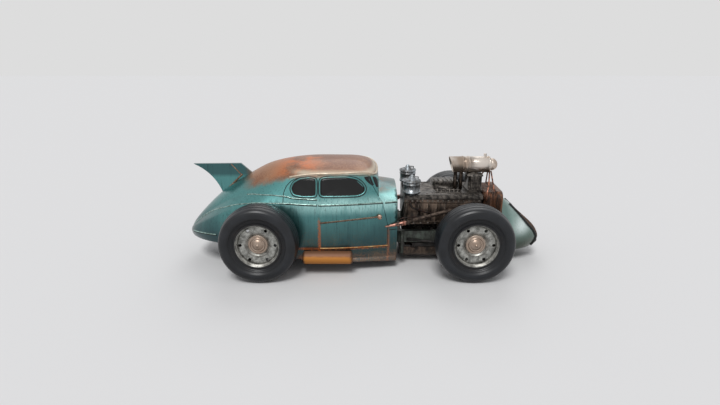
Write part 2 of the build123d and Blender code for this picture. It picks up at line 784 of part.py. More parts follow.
# Fuel tank across the rear rails
tank_z = rail_bottom + 60 + rear_rail_depth + seat_gap + tank_band_proud + tank_radius
tank_plane = Pos(tank_x, 0, tank_z) * Rot(90, 0, 0)
tank = tank_plane * Cylinder(tank_radius, 2 * tank_half)
tank = fillet(tank.edges().filter_by(GeomType.CIRCLE), tank_radius / 4)
for side in (-1, 1):
    band = Pos(tank_x, side * (rear_rail_outer - rail_width / 2), tank_z) * Rot(90, 0, 0)
    tank += band * Cylinder(tank_radius + tank_band_proud, tank_band_width)
write("fuel_tank", tank)

# Engine
deep_sump = block(sump_deep_x, (-sump_deep_half, sump_deep_half), (sump_deep_bottom, sump_overlap_z))
write("engine_block", slab(crankcase_rows, (engine_rear_x, engine_front_x)) + deep_sump)


def engine_deck():
    deck = block((engine_rear_x, deck_front_x), (-engine_half, engine_half),
                 (deck_low_z + seat_gap, engine_top_z))
    for side in (-1, 1):
        deck += rod((deck_rail_x[0], side * deck_rail_out, engine_top_z),
                    (deck_rail_x[1], side * deck_rail_out, engine_top_z), deck_rail_radius)
    plenum = block(plenum_x, plenum_y, (engine_top_z - 2, plenum_top_z))
    plenum = fillet(plenum.edges().filter_by(Axis.X).sort_by(Axis.Z)[-2:], plenum_corner)
    deck += plenum
    pitch = (plenum_x[1] - plenum_x[0]) / plenum_rib_count
    for index in range(plenum_rib_count):
        x = plenum_x[0] + (index + 0.5) * pitch
        deck += block((x - plenum_rib_width / 2, x + plenum_rib_width / 2),
                      (plenum_y[0] + plenum_corner, plenum_y[1] - plenum_corner),
                      (plenum_top_z - 2, plenum_top_z + plenum_rib_proud))
    deck += rod((fuel_rail_x[0], -fuel_rail_out, fuel_rail_z), (fuel_rail_x[1], -fuel_rail_out, fuel_rail_z),
                fuel_rail_radius)
    pitch = (fuel_rail_x[1] - fuel_rail_x[0]) / injector_count
    for index in range(injector_count):
        x = fuel_rail_x[0] + (index + 0.5) * pitch
        deck += post(x, -fuel_rail_out, (engine_top_z - 2, fuel_rail_z + fuel_rail_radius + 4), injector_radius)
    return deck


def engine_cover():
    cover = block((engine_rear_x, engine_front_x), (block_half + seat_gap, engine_half),
                  (cover_low_z, deck_low_z))
    for z in cover_bead_places:
        cover += rod((engine_rear_x + cover_bead_radius, engine_half, z),
                     (engine_front_x - cover_bead_radius, engine_half, z), cover_bead_radius)
    for x in cover_rib_places:
        cover += block((x - cover_rib_width / 2, x + cover_rib_width / 2),
                       (engine_half - 2, engine_half + cover_rib_proud), cover_rib_z)
    return cover


write("engine_top", engine_deck())
cover = engine_cover()
write("engine_sides", cover + mirrored(cover))

# Induction tube on its legs and the blower
tube = barrel_along((tube_rear_top_x, tube_front_x), 0, tube_z, tube_radius)
for band_x in tube_bands:
    tube += barrel_along(band_x, 0, tube_z, tube_radius + tube_band_proud)
tube += block(latch_x, (-latch_half, latch_half), (tube_z + tube_radius - 4, latch_top_z))
tube -= barrel_along((tube_rear_top_x - cut_overrun, tube_front_x - 30), 0, tube_z, tube_radius - tube_wall)
slant = [
    (tube_rear_top_x - cut_overrun, tube_z + tube_radius + 10),
    (tube_rear_top_x, tube_z + tube_radius + 10),
    (tube_rear_low_x, tube_z - tube_radius - 10),
    (tube_rear_top_x - cut_overrun, tube_z - tube_radius - 10),
]
tube -= prism(slant, (-tube_radius - cut_overrun, tube_radius + cut_overrun))
dome_shoulder_x = tube_front_x + 20
dome = [
    Line((tube_front_x, tube_z), (tube_end_x, tube_z)),
    ThreePointArc((tube_end_x, tube_z), (tube_end_x - 18, tube_z + 50),
                  (dome_shoulder_x, tube_z + tube_end_radius)),
    Line((dome_shoulder_x, tube_z + tube_end_radius), (tube_front_x, tube_z + tube_end_radius)),
    Line((tube_front_x, tube_z + tube_end_radius), (tube_front_x, tube_z)),
]
dome_end = revolve(Plane.XZ * make_face(Wire(dome)), Axis((0, 0, tube_z), (1, 0, 0)))
write("induction_tube", tube + dome_end)
tube_space = barrel_along((tube_rear_top_x, tube_front_x), 0, tube_z, tube_radius + seat_gap)
for band_x in tube_bands:
    band_space = (band_x[0] - seat_gap, band_x[1] + seat_gap)
    tube_space += barrel_along(band_space, 0, tube_z, tube_radius + tube_band_proud + seat_gap)
tube_space += barrel_along((tube_front_x, dome_shoulder_x), 0, tube_z, tube_end_radius + seat_gap)
legs = Part()
for x in tube_leg_places:
    legs += post(x, 0, (engine_top_z + seat_gap, tube_z), tube_leg_radius)
write("tube_legs", legs - tube_space)


def blower():
    case = block((blower_rear_x, blower_front_x), (-blower_half, blower_half),
                 (blower_plate_z[0][1] - 2, blower_plate_z[1][0] + 2))
    case = fillet(case.edges().filter_by(Axis.Z), blower_corner)
    pitch = (blower_front_x - blower_rear_x - 2 * blower_corner) / (blower_rib_count - 1)
    for index in range(blower_rib_count):
        x = blower_rear_x + blower_corner + index * pitch
        case += block((x - blower_rib_width / 2, x + blower_rib_width / 2),
                      (-blower_half - blower_rib_proud, blower_half + blower_rib_proud),
                      (blower_plate_z[0][1] - 2, blower_plate_z[1][0] + 2))
    for x_range, half, z_range in zip(blower_plate_x, blower_plate_half, blower_plate_z):
        lift = seat_gap if z_range[0] == engine_top_z else 0
        case += block(x_range, (-half, half), (z_range[0] + lift, z_range[1]))
    return case + post(blower_neck_x, 0, (blower_plate_z[1][1] - 2, tube_z), blower_neck_radius)


write("blower", blower() - tube_space)

# Canisters, each with its lever
canister = Part()
for radius, low_z, high_z in canister_rows:
    canister += post(canister_x, canister_out, (low_z, high_z), radius)
knob_z, lid_z = canister_rows[-1][2], canister_rows[5][2]
canister += Pos(canister_x, canister_out, knob_z) * Sphere(canister_knob_radius)
canister += rod((canister_x, canister_out, knob_z), (lever_x, canister_out, knob_z - 4), lever_radius)
canister += post(lever_x, canister_out, (lid_z - 2, knob_z), lever_radius)
write("canisters", canister + mirrored(canister))

# Radiator drum with its collar
def drum(x_range, grow):
    rows_half, top = radiator_half + grow, radiator_top + grow
    shape = block(x_range, (-rows_half, rows_half), (rail_bottom + crossmember_height + seat_gap, top))
    return fillet(shape.edges().filter_by(Axis.X).sort_by(Axis.Z)[-2:], radiator_corner)


radiator = drum(radiator_x, 0) + drum(collar_x, collar_proud)
rib_pitch = (collar_x[0] - radiator_x[0]) / radiator_rib_count
for index in range(radiator_rib_count):
    x = radiator_x[0] + (index + 0.25) * rib_pitch
    radiator += drum((x, x + rib_pitch / 2), radiator_rib_proud)
write("radiator", radiator)

# Pipes about the engine
radiator_space = drum((radiator_x[0] - seat_gap, radiator_x[1] + seat_gap), radiator_rib_proud + seat_gap)
side_space = block((engine_rear_x - 1, engine_front_x + 1), (0, engine_half + seat_gap),
                   (cover_low_z - 1, deck_low_z))
firewall_space = block((cowl_front_x - 3 * fuel_line_radius, cowl_front_x + seat_gap), (0, 900), (0, 900))
lines = bent_tube(copper_points, copper_radius, 25) - radiator_space - tube_space
lines += rod(short_strut_start, short_strut_end, copper_radius) - radiator_space - tube_space
lines += bent_tube(fuel_line_points, fuel_line_radius, 20) - side_space - firewall_space
for points in hose_tables:
    lines += bent_tube(points, hose_radius, hose_bend) - side_space
write("engine_lines", lines + mirrored(lines))

# Nose and grille
nose_front_x = nose_sections[-1][0]
nose_rear_x = nose_sections[0][0]
inside_x = (nose_rear_x - cut_overrun, nose_front_x - nose_wall)
nose_hollow = hull_loft(nose_sections, nose_wall) & block(inside_x, wide, tall)
mouth_points = [(-half, z) for z, half in (mouth_low, mouth_mid, mouth_top)]
mouth_points += [(half, z) for z, half in (mouth_top, mouth_mid, mouth_low)]
mouth_plane = Plane(origin=(nose_rear_x + 4, 0, 0), x_dir=(0, 1, 0), z_dir=(1, 0, 0))
mouth_face = fillet(make_face(Polyline(*mouth_points, close=True)).vertices(), mouth_corner)
mouth_reach = nose_front_x + cut_overrun - nose_rear_x


def mouth_prism(shrink):
    face = offset(mouth_face, -shrink) if shrink else mouth_face
    return extrude(mouth_plane * face, mouth_reach)


write("nose_shell", hull_loft(nose_sections) - nose_hollow - mouth_prism(0))
rim_hull = hull_loft(nose_sections, -rim_proud) - nose_hollow
write("grille_rim", rim_hull & (mouth_prism(seat_gap) - mouth_prism(rim_width)))
bar_core_x = (nose_rear_x - cut_overrun, nose_front_x - bar_depth)
bar_hull = hull_loft(nose_sections, bar_inset) - (
    hull_loft(nose_sections, bar_inset + bar_depth) & block(bar_core_x, wide, tall))
bars = Part()
bar_space = mouth_prism(rim_width + seat_gap)
bar_pitch = 2 * (mouth_mid[1] - rim_width) / bar_count
for index in range(bar_count):
    y = (index - (bar_count - 1) / 2) * bar_pitch
    bar_y = (y - bar_thickness / 2, y + bar_thickness / 2)
    bars += block((nose_rear_x, nose_front_x + cut_overrun), bar_y, tall) & bar_space & bar_hull
write("grille_bars", bars)

# Belly pan
pan = block((pan_rear_x, pan_front_x), (-pan_half, pan_half), (pan_bottom, pan_bottom + pan_depth))
pan = chamfer(pan.faces().sort_by(Axis.Z)[0].edges(), pan_slope)
pan -= block((pan_rear_x + pan_slope, pan_front_x - pan_slope), (-pan_half + pan_slope, pan_half - pan_slope),
             (pan_bottom + pan_wall, pan_bottom + pan_depth + cut_overrun))
for x in pan_tab_places:
    tab = block((x, x + pan_tab_length), (pan_half - 8, rail_outer - rail_width - seat_gap),
                (pan_bottom + pan_depth - 30, rail_bottom + 50))
    pan += tab + mirrored(tab)
write("belly_pan", pan)

# Braces, radius rods and side pipes
brace = rod(brace_tip, brace_points[0], link_tip_radius, link_cone_radius)
brace += bent_tube(brace_points, link_radius, link_bend)
brace_start, brace_next = Vector(*brace_points[0]), Vector(*brace_points[1])
for start_share, end_share in brace_collar_shares:
    start = brace_start + (brace_next - brace_start) * start_share
    end = brace_start + (brace_next - brace_start) * end_share
    brace += rod(tuple(start), tuple(end), brace_collar_radius)
brace = brace - outer_cowl - outer_body - side_space
write("braces", brace + mirrored(brace))
rod_out = rail_outer + radius_rod_gap + seat_gap
link = rod((front_axle_x - axle_radius - seat_gap, rod_out, radius_rod_z[0]),
           (radius_rod_rear_x, rod_out, radius_rod_z[1]), radius_rod_radius)
write("radius_rods", link + mirrored(link))
pipe_z = rail_bottom - side_pipe_radius - seat_gap
pipe = rod((side_pipe_x[0], side_pipe_out, pipe_z), (side_pipe_x[1], side_pipe_out, pipe_z), side_pipe_radius)
write("side_pipes", pipe + mirrored(pipe))
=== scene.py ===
import json
import math

import bmesh
import bpy
import numpy as np
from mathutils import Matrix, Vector
from mathutils.bvhtree import BVHTree


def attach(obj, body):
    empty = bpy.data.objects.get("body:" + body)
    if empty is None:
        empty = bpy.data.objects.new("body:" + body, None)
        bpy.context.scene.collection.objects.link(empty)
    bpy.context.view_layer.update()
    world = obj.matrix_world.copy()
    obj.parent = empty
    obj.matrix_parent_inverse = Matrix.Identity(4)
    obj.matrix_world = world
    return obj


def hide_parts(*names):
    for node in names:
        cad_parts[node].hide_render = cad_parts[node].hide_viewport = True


bl_info = {
    "name": "Fastback hot rod",
    "version": (1, 0, 0),
    "blender": (4, 5, 0),
    "location": "3D View > Sidebar > Hot rod",
    "description": "Dresses the packed fastback hot rod with paint, tyres, trim, seats and a stage",
    "category": "Object",
}

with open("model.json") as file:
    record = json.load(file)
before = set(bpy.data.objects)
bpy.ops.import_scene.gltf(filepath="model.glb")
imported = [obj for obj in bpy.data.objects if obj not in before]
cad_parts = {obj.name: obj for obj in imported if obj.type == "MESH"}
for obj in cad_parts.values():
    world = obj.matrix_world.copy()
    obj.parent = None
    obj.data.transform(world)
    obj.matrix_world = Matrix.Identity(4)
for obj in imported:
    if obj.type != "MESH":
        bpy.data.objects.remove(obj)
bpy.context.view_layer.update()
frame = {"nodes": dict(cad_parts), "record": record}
NODES = frame["nodes"]
BODY_OF = {node: body for body, nodes in frame["record"]["behaviour"]["bodies"].items() for node in nodes}
SLOT_OF = {row["node"]: row["material_slot"] for row in frame["record"]["subparts"]}
AXLES = {"front": 1.152, "rear": -1.127}
HUB_HEIGHT = 0.42
WELD = 0.00002
SIDES = {"left": 1, "right": -1}
SHELL = [
    "tail_shell", "quarter_left", "quarter_right", "cowl_panel", "roof_panel", "door_left", "door_right",
]


def srgb(red, green, blue):
    """Turn a colour of 0 to 255 per channel into the linear colour that the shaders take."""
    shares = [channel / 255 for channel in (red, green, blue)]
    linear = [share / 12.92 if share <= 0.04045 else ((share + 0.055) / 1.055) ** 2.4 for share in shares]
    return (*linear, 1.0)


class Value:
    """A shader socket that takes part in Python expressions."""

    def __init__(self, finish, socket):
        self.finish = finish
        self.socket = socket

    def math(self, operation, first, second, clamp=False):
        settings = {"operation": operation, "use_clamp": clamp}
        return self.finish.node("ShaderNodeMath", settings, {0: first, 1: second})

    def __add__(self, other):
        return self.math("ADD", self, other)

    __radd__ = __add__

    def __sub__(self, other):
        return self.math("SUBTRACT", self, other)

    def __rsub__(self, other):
        return self.math("SUBTRACT", other, self)

    def __mul__(self, other):
        return self.math("MULTIPLY", self, other)

    __rmul__ = __mul__

    def __pow__(self, other):
        return self.math("POWER", self, other)

    def __abs__(self):
        return self.math("ABSOLUTE", self, 0)

    def clamped(self):
        return self.math("ADD", self, 0, clamp=True)


class Finish:
    """A material with its Principled shader, built by expressions on Values."""

    def __init__(self, name, **constants):
        self.material = bpy.data.materials.new(name)
        self.material.use_nodes = True
        self.tree = self.material.node_tree
        self.shader = self.tree.nodes["Principled BSDF"]
        for socket, value in constants.items():
            self.shader.inputs[socket.replace("_", " ")].default_value = value
        self.place = self.node("ShaderNodeTexCoord", {}, {}, "Object")
        self.x, self.z = (self.node("ShaderNodeSeparateXYZ", {}, {0: self.place}, axis) for axis in (0, 2))

    def plug(self, socket, value):
        """Link a Value to a socket, or set the socket to a plain number or colour."""
        if isinstance(value, Value):
            self.tree.links.new(value.socket, socket)
        else:
            socket.default_value = value

    def node(self, kind, settings, sockets, output=0):
        """Add a node, set its settings, then fill its sockets with values or links."""
        made = self.tree.nodes.new(kind)
        for name, value in settings.items():
            setattr(made, name, value)
        for key, value in sockets.items():
            self.plug(made.inputs[key], value)
        return Value(self, made.outputs[output])

    def noise(self, scale, stretch=(1, 1, 1), detail=5, rough=0.6, shift=0.0):
        """Fractal noise on Object coordinates, drawn out along an axis by a small stretch."""
        stretched = self.node("ShaderNodeVectorMath", {"operation": "MULTIPLY_ADD"},
                              {0: self.place, 1: stretch, 2: (shift, shift, shift)})
        return self.node("ShaderNodeTexNoise", {},
                         {"Vector": stretched, "Scale": scale, "Detail": detail, "Roughness": rough})

    def between(self, value, low, high):
        """Rise smoothly from 0 at the low value to 1 at the high one."""
        return self.node("ShaderNodeMapRange", {"interpolation_type": "SMOOTHSTEP"},
                         {"Value": value, "From Min": low, "From Max": high})

    def near(self, value, centre, width):
        """A soft band of 1 at the centre that falls to 0 at the width."""
        return 1 - self.between(abs(value - centre), 0.0, width)

    def from_hub(self):
        """Distance from the nearest hub seen from the side: the root of the way along squared plus the way
        up squared."""
        middle = (AXLES["front"] + AXLES["rear"]) / 2
        along = abs(self.x - middle) - (AXLES["front"] - middle)
        up = self.z - HUB_HEIGHT
        return (along * along + up * up) ** 0.5

    def mix(self, share, first, second):
        """The first colour where the share is 0, going over to the second where it is 1."""
        return self.node("ShaderNodeMix", {"data_type": "RGBA"}, {0: share, 6: first, 7: second}, 2)

    def bump(self, height, strength, distance):
        sockets = {"Height": height, "Strength": strength, "Distance": distance}
        return self.node("ShaderNodeBump", {}, sockets)

    def feed(self, **sockets):
        """Fill the shader's sockets and hand over the material."""
        for name, value in sockets.items():
            self.plug(self.shader.inputs[name.replace("_", " ")], value)
        return self.material


def body_paint(colours):
    """Teal metallic brushed upright, gone to rust on the roof and in runs at the edges."""
    shade = tuple(colours.shade)
    paint = Finish("weathered_teal", Coat_Weight=0.35, Coat_Roughness=0.16, Specular_IOR_Level=0.5)
    brush = paint.noise(70, (1, 1, 0.03), 5, 0.6)
    streak = paint.noise(9, (1, 1, 0.1), 5, 0.6, 3.1)
    cloud = paint.noise(2.3, (1, 1, 1), 4, 0.55, 7.7)
    speckle = paint.noise(60, (1, 1, 1), 5, 0.7, 1.3)
    # Teal: painted shade makes it dark low down and a painted highlight makes it pale along the belt, with
    # dark brushed streaks and dirt near the sill
    height = paint.between(paint.z + (streak - 0.5) * 0.22 + (cloud - 0.5) * 0.3, 0.24, 0.84)
    teal = paint.mix(height, shade, tuple(colours.teal))
    # Painted highlight: pale teal along the belt shoulder
    bright = paint.near(paint.z + (streak - 0.5) * 0.08, 0.775, 0.13) * paint.between(paint.x, -1.2, -0.3)
    bright = (bright * paint.between(brush * 0.7 + cloud * 0.3, 0.28, 0.56)).clamped()
    teal = paint.mix(bright, teal, tuple(colours.pale))
    teal = paint.mix(paint.between(brush * 0.7 + speckle * 0.3, 0.5, 0.66) * 0.55, teal, shade)
    dirt = paint.between(cloud * 0.5 + speckle * 0.5, 0.46, 0.6) * paint.between(paint.z, 0.6, 0.25)
    teal = paint.mix(dirt * 0.6, teal, tuple(colours.grime))
    # Roof: gone to rust above a depth below the crown, whose height falls off behind the cabin
    behind = -0.6 - paint.x
    past = behind.math("MAXIMUM", behind, 0.0)
    crown = 1.196 - past ** 1.9 * 0.34
    depth = crown - paint.z + (streak - 0.5) * 0.12 + (cloud - 0.5) * 0.12
    roof = 1 - paint.between(depth, 0.095, 0.165)
    roof = roof * paint.between(paint.x + (cloud - 0.5) * 0.3, -1.42, -1.2)
    roof = roof * paint.between(paint.z, 0.86, 0.9)
    # Edges: runs of rust at both ends of the door, along the sill and at the foot
    low_jamb = paint.near(paint.x + (speckle - 0.5) * 0.03, -0.499, 0.024)
    jamb = low_jamb * paint.between(paint.z + (streak - 0.5) * 0.2, 0.66, 0.56)
    front_jamb = paint.near(paint.x + (speckle - 0.5) * 0.04, 0.256, 0.026)
    front_jamb = front_jamb * paint.between(paint.z, 0.56, 0.44)
    sill = paint.near(paint.z + (speckle - 0.5) * 0.03, 0.283, 0.026) * paint.between(paint.x, -0.95, -0.7)
    sill = sill * paint.between(paint.x, 0.30, 0.22)
    foot = paint.between(paint.z + (streak - 0.5) * 0.1, 0.26, 0.17) * 0.5
    drops = paint.between(streak * 0.6 + speckle * 0.4, 0.56, 0.7) * paint.between(paint.z, 0.9, 0.6)
    runs = (jamb * 1.3 + front_jamb * 0.8 + sill * 0.9 + foot + drops * 0.2).clamped()
    edge = (runs * paint.between(speckle * 0.6 + streak * 0.6, 0.42, 0.7)).clamped()
    # Rust: brown and bare, orange where it is fresh
    worn = paint.between(speckle * 0.4 + cloud * 0.6, 0.42, 0.6)
    rust = paint.mix(worn, tuple(colours.brown), tuple(colours.bare))
    fresh = paint.near(paint.x, -0.72, 0.4) * paint.between(cloud * 0.6 + streak * 0.4, 0.44, 0.56)
    orange_share = (fresh + jamb + sill * 0.8 + front_jamb * 0.4).clamped()
    orange_share = (orange_share * (0.6 + speckle * 0.5)).clamped()
    rust = paint.mix(orange_share, rust, tuple(colours.orange))
    # The cowl's top and the fin are darker, and the roof's lower edge has a cream band that is a painted
    # highlight
    cowl_top = paint.between(paint.z + (cloud - 0.5) * 0.08, 0.84, 0.9) * paint.between(paint.x, 0.12, 0.18)
    teal = paint.mix((cowl_top * 0.75).clamped(), teal, shade)
    worn_top = cowl_top * paint.between(cloud * 0.6 + speckle * 0.4, 0.42, 0.58)
    edge = (edge + worn_top * 0.6).clamped()
    gone = (roof + edge).clamped()
    fin = paint.between(paint.z, 0.94, 1.0) * paint.between(paint.x, -1.24, -1.34)
    teal = paint.mix(fin * 0.7, teal, shade)
    # Painted highlight: a cream band along the roof's lower edge
    rim = paint.near(paint.z + (cloud - 0.5) * 0.04, 1.098, 0.034) * paint.between(paint.x, -0.86, -0.66)
    rust = paint.mix((rim * 0.85).clamped(), rust, tuple(colours.highlight_cream))
    return paint.feed(
        Base_Color=paint.mix(gone, teal, rust),
        Metallic=(0.86 - gone * 0.6).clamped(),
        Roughness=(0.22 + brush * 0.16 + gone * 0.22).clamped(),
        Normal=paint.bump(brush * 0.35 + speckle * gone, 0.16, 0.0012),
    )


def rusted(name, light, dark, metallic=0.35, rough=0.55, scale=18, upright=0.3):
    """Worn metal whose two colours meet in upright streaks and specks."""
    metal = Finish(name, Specular_IOR_Level=0.5)
    patches = metal.noise(scale, (1, 1, upright), 6, 0.65)
    specks = metal.noise(scale * 7, (1, 1, 1), 4, 0.7, 4.2)
    share = metal.between(patches * 0.7 + specks * 0.3, 0.4, 0.62)
    return metal.feed(
        Base_Color=metal.mix(share, dark, light),
        Metallic=metallic + share * 0.25,
        Roughness=(rough + (specks - 0.5) * 0.35).clamped(),
        Normal=metal.bump(patches * 0.5 + specks * 0.5, 0.3, 0.0015),
    )


def tyre_rubber(colours):
    """Dark rubber, dusty on the outer sidewall and browner near the bead."""
    rubber = Finish("tyre_rubber", Specular_IOR_Level=0.45)
    dust = rubber.noise(5, (1, 1, 1), 5, 0.6)
    fine = rubber.noise(160, (1, 1, 1), 3, 0.6, 2.0)
    radius = rubber.from_hub()
    share = rubber.between(dust, 0.35, 0.75) * rubber.between(radius, 0.29, 0.33)
    colour = rubber.mix(share, tuple(colours.rubber), tuple(colours.dust))
    brown = rubber.between(dust, 0.5, 0.7) * rubber.near(radius, 0.255, 0.04)
    colour = rubber.mix(brown * 0.4, colour, srgb(58, 46, 38))
    return rubber.feed(
        Base_Color=colour,
        Roughness=(0.27 + dust * 0.16).clamped(),
        Normal=rubber.bump(fine, 0.12, 0.0006),
    )


def wheel_steel():
    """Weathered steel disc with a browner cap, dark where it meets the tyre."""
    steel = Finish("weathered_steel", Specular_IOR_Level=0.5)
    patches = steel.noise(15, (1, 1, 1), 6, 0.65)
    specks = steel.noise(110, (1, 1, 1), 4, 0.7, 4.2)
    radius = steel.from_hub()
    worn = steel.between(patches * 0.7 + specks * 0.3, 0.4, 0.62)
    colour = steel.mix(worn, srgb(112, 112, 108), srgb(190, 190, 184))
    colour = steel.mix((1 - steel.between(radius, 0.098, 0.112)) * 0.75, colour, srgb(176, 152, 134))
    stain = steel.near(radius, 0.13, 0.014) + steel.near(radius, 0.222, 0.012) * 0.6
    colour = steel.mix((stain * steel.between(specks, 0.3, 0.6)).clamped() * 0.6, colour, srgb(70, 56, 46))
    rim = steel.between(radius, 0.228, 0.234)
    colour = steel.mix(rim, colour, srgb(30, 30, 31))
    return steel.feed(
        Base_Color=colour,
        Metallic=(0.9 - rim * 0.7).clamped(),
        Roughness=(0.26 + patches * 0.2 + specks * 0.08).clamped(),
        Normal=steel.bump(patches * 0.4 + specks * 0.6, 0.2, 0.001),
    )


def polished_tube():
    """Smooth warm steel, browner at the seams, with only faint stains."""
    steel = Finish("tube_steel", Metallic=0.95, Specular_IOR_Level=0.5)
    stain = steel.noise(5, (1, 1, 1), 4, 0.5)
    fine = steel.noise(90, (0.1, 1, 1), 3, 0.6, 2.0)
    colour = steel.mix(steel.between(stain, 0.4, 0.7), srgb(228, 218, 208), srgb(178, 160, 144))
    return steel.feed(
        Base_Color=colour,
        Roughness=(0.24 + stain * 0.1 + fine * 0.05).clamped(),
        Normal=steel.bump(fine, 0.05, 0.0006),
    )


def nose_paint(colours):
    """Polished grey-green, with painted light that makes it pale on top, painted shade that makes it dark
    low down, and a painted highlight high on its front.
    """
    paint = Finish("nose_green", Coat_Weight=0.4, Coat_Roughness=0.12, Specular_IOR_Level=0.5)
    cloud = paint.noise(4, (1, 1, 1), 4, 0.55, 7.7)
    speckle = paint.noise(50, (1, 1, 1), 4, 0.65, 1.3)
    # Painted shade low down going over to painted light on top
    height = paint.between(paint.z + (cloud - 0.5) * 0.12, 0.16, 0.52)
    colour = paint.mix(height, srgb(58, 68, 54), srgb(140, 166, 160))
    back = paint.between(paint.x + (cloud - 0.5) * 0.06, 1.70, 1.60)
    colour = paint.mix(back * 0.8, colour, srgb(96, 122, 116))
    # Painted highlight: a bright spot high on the front of the nose's side
    rubbed = paint.near(paint.x, 1.80, 0.16) * paint.near(paint.z + (cloud - 0.5) * 0.05, 0.44, 0.13)
    colour = paint.mix(rubbed, colour, srgb(226, 240, 238))
    worn = paint.between(speckle * 0.6 + cloud * 0.4, 0.5, 0.64)
    colour = paint.mix(worn * 0.3, colour, srgb(86, 92, 76))
    return paint.feed(
        Base_Color=colour,
        Metallic=(0.85 - worn * 0.3).clamped(),
        Roughness=(0.24 + cloud * 0.1 + worn * 0.15).clamped(),
        Normal=paint.bump(speckle, 0.06, 0.0008),
    )


def two_metals(name, near_colour, far_colour, where, dark, metallic=0.6, rough=0.4):
    """One worn metal behind the given place along the car and another ahead of it."""
    metal = Finish(name, Specular_IOR_Level=0.5)
    patches = metal.noise(26, (1, 1, 1), 6, 0.65)
    ahead = metal.between(metal.x, where - 0.02, where + 0.02)
    light = metal.mix(ahead, near_colour, far_colour)
    return metal.feed(
        Base_Color=metal.mix(metal.between(patches, 0.38, 0.6), dark, light),
        Metallic=metallic + patches * 0.2,
        Roughness=(rough + (patches - 0.5) * 0.3).clamped(),
        Normal=metal.bump(patches, 0.3, 0.001),
    )


def tinted_and_shaded_glass():
    """Near-black glass, partly its tint and partly painted shade of the dark cabin behind it, a little
    dusty.
    """
    glass = Finish("tinted_and_shaded_glass", Metallic=0.0, IOR=1.4, Coat_Weight=0.2, Coat_Roughness=0.1)
    haze = glass.noise(6, (1, 1, 0.6), 5, 0.6)
    return glass.feed(
        # Near-black: partly tint, partly painted shade of the cabin behind
        Base_Color=glass.mix(glass.between(haze, 0.4, 0.8), srgb(5, 6, 7), srgb(16, 18, 20)),
        Roughness=(0.08 + haze * 0.1).clamped(),
    )


def leather(name, light, dark):
    """Cracked brown leather with a fine grain."""
    hide = Finish(name, Specular_IOR_Level=0.4)
    sockets = {"Vector": hide.place, "Scale": 260.0}
    cells = hide.node("ShaderNodeTexVoronoi", {"feature": "DISTANCE_TO_EDGE"}, sockets)
    worn = hide.noise(8, (1, 1, 1), 5, 0.6)
    return hide.feed(
        Base_Color=hide.mix(hide.between(worn, 0.4, 0.65), dark, light),
        Roughness=(0.5 + worn * 0.2).clamped(),
        Normal=hide.bump(cells, 0.3, 0.001),
    )


def recalculated(piece):
    """Turn a new piece's faces outwards."""
    shape = bmesh.new()
    shape.from_mesh(piece.data)
    bmesh.ops.recalc_face_normals(shape, faces=shape.faces)
    shape.to_mesh(piece.data)
    shape.free()


def solid_from(name, points, quads, fans=()):
    """Put arrays of points and faces into a new object at the origin, shaded smooth."""
    data = bpy.data.meshes.new(name)
    faces = [tuple(face) for face in quads.tolist()] + [tuple(fan) for fan in fans]
    data.from_pydata(points.reshape(-1, 3).tolist(), [], faces)
    data.validate()
    data.polygons.foreach_set("use_smooth", [True] * len(data.polygons))
    piece = bpy.data.objects.new(name, data)
    bpy.context.scene.collection.objects.link(piece)
    recalculated(piece)
    return piece


def grid_quads(rows, columns, wrap_rows=False, wrap_columns=True):
    """Faces of a grid of rows by columns, joined round where it wraps."""
    last_row = rows if wrap_rows else rows - 1
    last_column = columns if wrap_columns else columns - 1
    row, column = np.meshgrid(np.arange(last_row), np.arange(last_column), indexing="ij")
    next_row, next_column = (row + 1) % rows, (column + 1) % columns
    corners = [row * columns + column, next_row * columns + column, next_row * columns + next_column,
               row * columns + next_column]
    return np.stack([corner.ravel() for corner in corners], axis=1)


def end_fans(rows, columns, start=0):
    """The two faces that close the first and the last row of a grid."""
    last = start + (rows - 1) * columns
    return [list(range(start, start + columns)), list(range(last, last + columns))]


def surface(name, grid, wrap_rows=False):
    """Make a grid of points, rows by columns, into a closed piece."""
    rows, columns = grid.shape[:2]
    fans = [] if wrap_rows else end_fans(rows, columns)
    return solid_from(name, grid, grid_quads(rows, columns, wrap_rows), fans)


def unit(vectors):
    """Each vector over its own length."""
    return vectors / np.maximum(np.linalg.norm(vectors, axis=-1, keepdims=True), 1e-9)


def bead(path, radius, up=(0, 0, 1), closed=False, sides=10):
    """A tube along a path: each ring is the point plus the radius times the cosine of the angle along the
    up direction made square to the path, plus the radius times the sine along the third direction."""
    path = np.asarray(path, dtype=float)
    if closed:
        along = unit(np.roll(path, -1, axis=0) - np.roll(path, 1, axis=0))
    else:
        along = unit(np.gradient(path, axis=0))
    lift = np.broadcast_to(np.asarray(up, dtype=float), path.shape)
    lift = unit(lift - along * np.sum(lift * along, axis=1, keepdims=True))
    across = np.cross(along, lift)
    angle = np.linspace(0, 2 * np.pi, sides, endpoint=False)
    return (path[:, None] + radius * np.cos(angle)[None, :, None] * lift[:, None]
            + radius * np.sin(angle)[None, :, None] * across[:, None])


def turned_rings(profile, centre, steps):
    """Turn a closed profile of (outboard, radius) about a line across the car through the centre:
    x and z are the radius times the cosine and sine of the turn, y is the outboard value."""
    profile = np.asarray(profile, dtype=float)
    turn = np.linspace(0, 2 * np.pi, steps, endpoint=False)
    out, radius = profile[:, 0], profile[:, 1]
    x = centre[0] + radius[None] * np.cos(turn)[:, None]
    y = centre[1] + out[None] + np.zeros((steps, 1))
    z = centre[2] + radius[None] * np.sin(turn)[:, None]
    return np.stack([x, y, z], axis=-1)


def resampled(points, count, closed=False):
    """Spread points evenly along a line through the given ones."""
    points = np.asarray(points, dtype=float)
    if closed:
        points = np.vstack([points, points[:1]])
    run = np.concatenate([[0], np.cumsum(np.linalg.norm(np.diff(points, axis=0), axis=1))])
    places = np.linspace(0, run[-1], count, endpoint=not closed)
    return np.stack([np.interp(places, run, points[:, axis]) for axis in range(points.shape[1])], axis=1)


